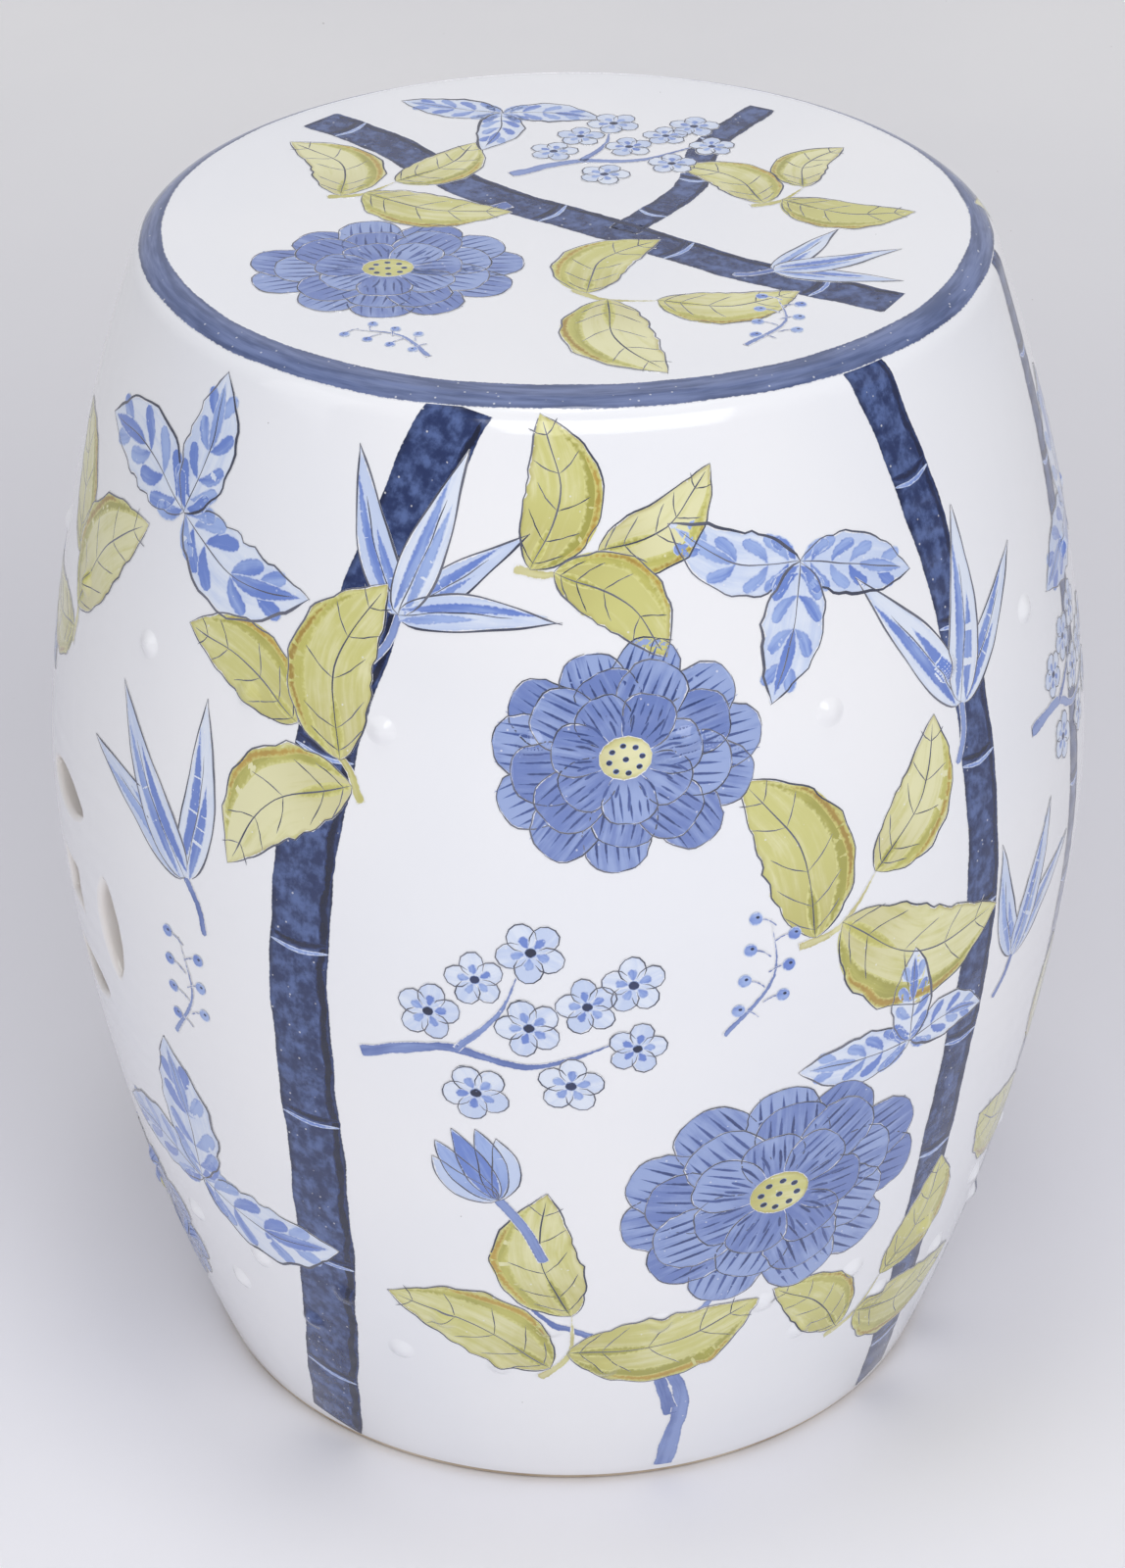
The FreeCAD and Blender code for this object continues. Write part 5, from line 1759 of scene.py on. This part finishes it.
@dataclass(frozen=True)
class Studio:
    """Pale sweep, soft lamps and the camera. Lengths are in metres and powers in watts."""

    distance: float = 1.706
    climb: float = math.radians(30.4)
    aim: float = 223.6 * MM
    lens: float = 102.7
    sensor: float = 36.0
    roll: float = math.radians(-0.22)
    frame: tuple[int, int] = (1148, 1600)
    shift: float = -6.0
    floor: tuple[float, ...] = (-30.0, -2.0, 0.0, 1.8)
    bend: float = 1.2
    backdrop: float = 4.5
    half_width: float = 16.0
    # paper tones: painted light far behind the stool, painted shade round it, and the plain paper in front
    paper_painted_light: Colour = srgb(255, 254, 255)
    paper_painted_shade: Colour = srgb(229, 228, 234)
    paper_near: Colour = srgb(248, 247, 251)
    paper_cloud: Colour = srgb(222, 222, 230)
    dust: Colour = srgb(150, 140, 135)
    large_dust: Specks = (28.0, 0.03, 0.05)
    small_dust: Specks = (70.0, 0.035, 0.06)
    dust_strength: float = 0.6
    world_colour: Colour = (0.96, 0.97, 1.0, 1.0)
    world_strength: float = 0.41
    lamps: tuple[Lamp, ...] = (
        Lamp("key", (12, 2.1, 2.4), (0, 0.25, 0), (3.0, 2.0), 45),
        Lamp("left", (-70, 1.5, 2.4), (0, 0.25, 0), (1.0, 1.8), 3.5),
        Lamp("right", (80, 1.5, 2.4), (0, 0.25, 0), (1.0, 1.8), 1),
        Lamp("top", (164.7, 2.9, 0.3606), (0, 0, 0), (2.4, 2.4), 8),
        Lamp("glint", (-12, 2.3, 0.12), (0, 0, 0.1), (0.5, 0.5), 5),
    )

    def build(self) -> None:
        """Make the sweep, the lamps, the world and the camera."""
        self.add_sweep()
        for lamp in self.lamps:
            self.add_lamp(lamp)
        self.add_world()
        self.add_camera()

    def add_sweep(self) -> None:
        """A floor that bends up into a backdrop behind the object, as seen by the camera."""
        away = np.array([-math.cos(VIEW_TURN), -math.sin(VIEW_TURN)])
        right = np.array([-math.sin(VIEW_TURN), math.cos(VIEW_TURN)])
        angle = np.linspace(0, math.pi / 2, 16)[1:]
        start = self.floor[-1]
        depth = np.concatenate([self.floor, start + self.bend * np.sin(angle), [start + self.bend]])
        height = np.concatenate([np.zeros(len(self.floor)), self.bend * (1 - np.cos(angle)), [self.backdrop]])
        across = np.linspace(-self.half_width, self.half_width, 9)
        grid = np.zeros((len(depth), len(across), 3))
        grid[..., :2] = depth[:, None, None] * away + across[None, :, None] * right
        grid[..., 2] = height[:, None]
        shell = Shell("sweep")
        shell.wear(Finish.shared("sweep_paper", self.write_sweep))
        shell.add_grid(grid)
        shell.build()

    def write_sweep(self, tree: Tree, shader: Node) -> None:
        """Matt pale paper with painted shade round the stool and painted light brightening it far behind, with a few
        specks of dust.

        The depth behind the stool is the place's share along the camera's level direction.
        """
        where = tree.place()
        depth = tree.node("ShaderNodeVectorMath", operation="DOT_PRODUCT")
        tree.feed(depth.inputs[0], where)
        depth.inputs[1].default_value = (-math.cos(VIEW_TURN), -math.sin(VIEW_TURN), 0.0)
        behind = depth.outputs["Value"]
        # painted shade round the stool, then painted light brightening the paper far behind it
        near = tree.blend(tree.spread(behind, -0.25, 0.15), self.paper_near, self.paper_painted_shade)
        colour = tree.blend(tree.spread(behind, 0.45, 1.5), near, self.paper_painted_light)
        cloud = tree.spread(tree.noise(where, 3.0, 3.0), 0.3, 0.7, 0.0, 0.12)
        colour = tree.blend(cloud, colour, self.paper_cloud)
        dust = tree.maths("MAXIMUM", tree.spots(where, *self.small_dust), tree.spots(where, *self.large_dust))
        colour = tree.blend(tree.maths("MULTIPLY", dust, self.dust_strength), colour, self.dust)
        tree.feed(shader.inputs["Base Color"], colour)
        shader.inputs["Roughness"].default_value = 0.9

    def seen_from(self, degrees: float, height: float, distance: float) -> tuple[float, float, float]:
        """A place at an angle to the right of the camera, seen from above."""
        turn = VIEW_TURN + math.radians(degrees)
        return (distance * math.cos(turn), distance * math.sin(turn), height)

    def add_aimed(self, name: str, data: bpy.types.ID, place: Sequence[float], aim: Sequence[float],
                  roll: float = 0.0) -> Piece:
        """Put a lamp or the camera at a place, looking at another.

        Args:
            name: the object's name.
            data: the lamp or the camera.
            place: where it is.
            aim: what it looks at.
            roll: how far it is turned about its own line of sight.
        Returns:
            The object.
        """
        holder = bpy.data.objects.new(name, data)
        holder.location = place
        turn = (Vector(aim) - Vector(place)).to_track_quat("-Z", "Y").to_matrix()
        holder.rotation_euler = (turn @ Matrix.Rotation(roll, 3, "Z")).to_euler()
        bpy.context.scene.collection.objects.link(holder)
        return holder

    def add_lamp(self, lamp: Lamp) -> None:
        """Hang one soft box."""
        light = bpy.data.lights.new(lamp.name, "AREA")
        light.shape = "RECTANGLE"
        light.size, light.size_y = lamp.size
        light.energy = lamp.power
        self.add_aimed(lamp.name, light, self.seen_from(*lamp.place), self.seen_from(*lamp.aim))

    def add_world(self) -> None:
        """A pale even light from all round."""
        world = bpy.data.worlds.new("studio")
        world.use_nodes = True
        background = world.node_tree.nodes["Background"]
        background.inputs["Color"].default_value = self.world_colour
        background.inputs["Strength"].default_value = self.world_strength
        bpy.context.scene.world = world

    def add_camera(self) -> None:
        """The camera at the photograph's angle, held by its long side."""
        camera = bpy.data.cameras.new("camera")
        camera.lens = self.lens
        camera.sensor_fit = "AUTO"
        camera.sensor_width = self.sensor
        camera.shift_x = self.shift / self.frame[1]
        up, back = self.distance * math.sin(self.climb), self.distance * math.cos(self.climb)
        place = self.seen_from(0.0, self.aim + up, back)
        bpy.context.scene.camera = self.add_aimed("camera", camera, place, (0, 0, self.aim), self.roll)


# layout


def cane(turn: float, lean: float, width: float, sway: float = 8.0, top: float = 444.5) -> Spray:
    """A cane from the foot up to the rim band, leaning sideways and swaying by a sine on its way.

    Args:
        turn: degrees right of the view's middle.
        lean: how far right of its foot its top is.
        width: half its thickness.
        sway: how far it sways.
        top: height of its top above where it starts.
    Returns:
        The piece.
    """
    foot = -15.0
    line = tuple((lean * share + sway * math.sin(share * 7.0 + turn), foot + (top - foot) * share)
                 for share in np.linspace(0, 1, 9))
    return Spray(Motif.CANE, (turn, 20), 0, width, line)

CANE, STEM, FAN, TRIO, GREEN, LOTUS, BUD, PLUM, BERRIES = Motif

SIDE_SPRAYS = (
    cane(-38, 62, 12),
    cane(53, -30, 9),
    cane(70, 26, 6.5, 5),
    cane(140, 40, 11),
    cane(-128, -44, 9),
    cane(-150, 30, 7),
    Spray(STEM, (14, 20), 0, 4.2, ((0, -15), (3, 30), (-4, 62), (26, 112))),
    Spray(STEM, (14, 20), 0, 3.0, ((0, 20), (-14, 60), (-52, 84), (-66, 110))),
    Spray(LOTUS, (24, 152), -8, 62),
    Spray(BUD, (-8, 162), 26, 36),
    Spray(LOTUS, (6, 340), 10, 48),
    Spray(GREEN, (-4, 66), 30, 56),
    Spray(GREEN, (36, 60), 4, 46),
    Spray(GREEN, (-22, 318), 96, 50),
    Spray(GREEN, (24, 262), -8, 54),
    Spray(GREEN, (-6, 404), -30, 40),
    Spray(TRIO, (39, 205), 24, 32),
    Spray(BERRIES, (-48, 196), 0, 46),
    Spray(FAN, (-19, 385), -26, 50),
    Spray(FAN, (-44, 268), 26, 56),
    Spray(FAN, (47, 330), -12, 56),
    Spray(FAN, (56, 215), -34, 44),
    Spray(TRIO, (-50, 396), 10, 44),
    Spray(TRIO, (27, 398), 186, 36),
    Spray(TRIO, (-50, 122), 24, 46),
    Spray(PLUM, (-22, 222), -6, 68),
    Spray(BERRIES, (16, 232), -10, 46),
    Spray(PLUM, (60, 300), -20, 52),
    Spray(GREEN, (-72, 318), 60, 48),
    Spray(LOTUS, (-72, 70), 0, 40),
    Spray(GREEN, (76, 108), 40, 50),
    Spray(TRIO, (86, 350), 30, 46),
    Spray(GREEN, (100, 400), -20, 46),
    Spray(LOTUS, (118, 348), 6, 46),
    Spray(TRIO, (104, 110), 10, 46),
    Spray(FAN, (136, 150), -20, 54),
    Spray(BERRIES, (88, 210), 0, 50),
    Spray(STEM, (172, 20), 0, 4.2, ((0, -15), (-8, 40), (4, 80), (-6, 130))),
    Spray(LOTUS, (170, 182), 12, 62),
    Spray(GREEN, (176, 70), 10, 54),
    Spray(GREEN, (154, 92), 80, 48),
    Spray(PLUM, (152, 288), 4, 68),
    Spray(GREEN, (-172, 290), 20, 52),
    Spray(TRIO, (172, 392), 180, 40),
    Spray(TRIO, (-164, 392), 20, 44),
    Spray(FAN, (-148, 320), -24, 54),
    Spray(LOTUS, (-124, 300), -6, 48),
    Spray(BERRIES, (-160, 180), 8, 52),
    Spray(PLUM, (-146, 176), -8, 60),
    Spray(GREEN, (-140, 64), 15, 48),
    Spray(TRIO, (-108, 116), 10, 42),
    Spray(FAN, (-110, 352), 8, 50),
    Spray(TRIO, (-90, 318), 160, 34),
)

SEAT_SPRAYS = (
    Spray(CANE, (0, 0), 0, 9, ((112, -70), (62, -42), (18, -8), (-30, 28), (-66, 74), (-92, 98)), True),
    Spray(CANE, (0, 0), 0, 6, ((20, -8), (44, 30), (52, 70), (74, 108)), True),
    Spray(STEM, (0, 0), 0, 3, ((-20, 16), (-48, 0), (-70, -24)), True),
    Spray(LOTUS, (-62, -40), 4, 48, (), True),
    Spray(PLUM, (-20, 44), 8, 54, (), True),
    Spray(GREEN, (2, -58), -60, 44, (), True),
    Spray(GREEN, (-86, 24), -12, 40, (), True),
    Spray(GREEN, (66, 14), 0, 38, (), True),
    Spray(TRIO, (-24, 104), 190, 27, (), True),
    Spray(FAN, (72, -42), -74, 38, (), True),
    Spray(BERRIES, (60, -104), -6, 40, (), True),
    Spray(BERRIES, (-46, -112), 62, 34, (), True),
)

SPRAYS = SIDE_SPRAYS + SEAT_SPRAYS


def main() -> None:
    """Build the stool and its studio, piece by piece."""
    logging.basicConfig(level=logging.INFO, format="%(name)s %(message)s")
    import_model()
    glaze, clay = Glaze(), Clay()
    skin = Skin()
    barrel = Barrel(skin).build(glaze)
    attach(barrel, BODY)
    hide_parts("lower_wall", "belly_wall", "upper_wall", "seat_slab")
    foot = Foot(skin).build(clay)
    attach(foot, BODY)
    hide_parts("foot_ring")
    for name, rings, node in (("upper_stud_ring", (UPPER_STUDS,), "upper_studs"),
                              ("lower_stud_rings", (SECOND_STUDS, LOWEST_STUDS), "lower_studs")):
        studs = studs_piece(name, rings, skin, glaze.plain())
        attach(studs, BODY)
        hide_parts(node)
    RimBand(skin).build(glaze)
    for number, spray in enumerate(SPRAYS):
        spray.paint(f"{spray.kind.value}_{number + 1}", skin, glaze, number + 1)
    for node in ("knee_coil", "seat_coil"):
        for held in bpy.data.objects[node].material_slots:
            held.material = clay.material()
    Studio().build()
    bpy.context.scene.view_settings.view_transform = "Standard"
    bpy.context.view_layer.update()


if __name__ == "__main__":
    main()
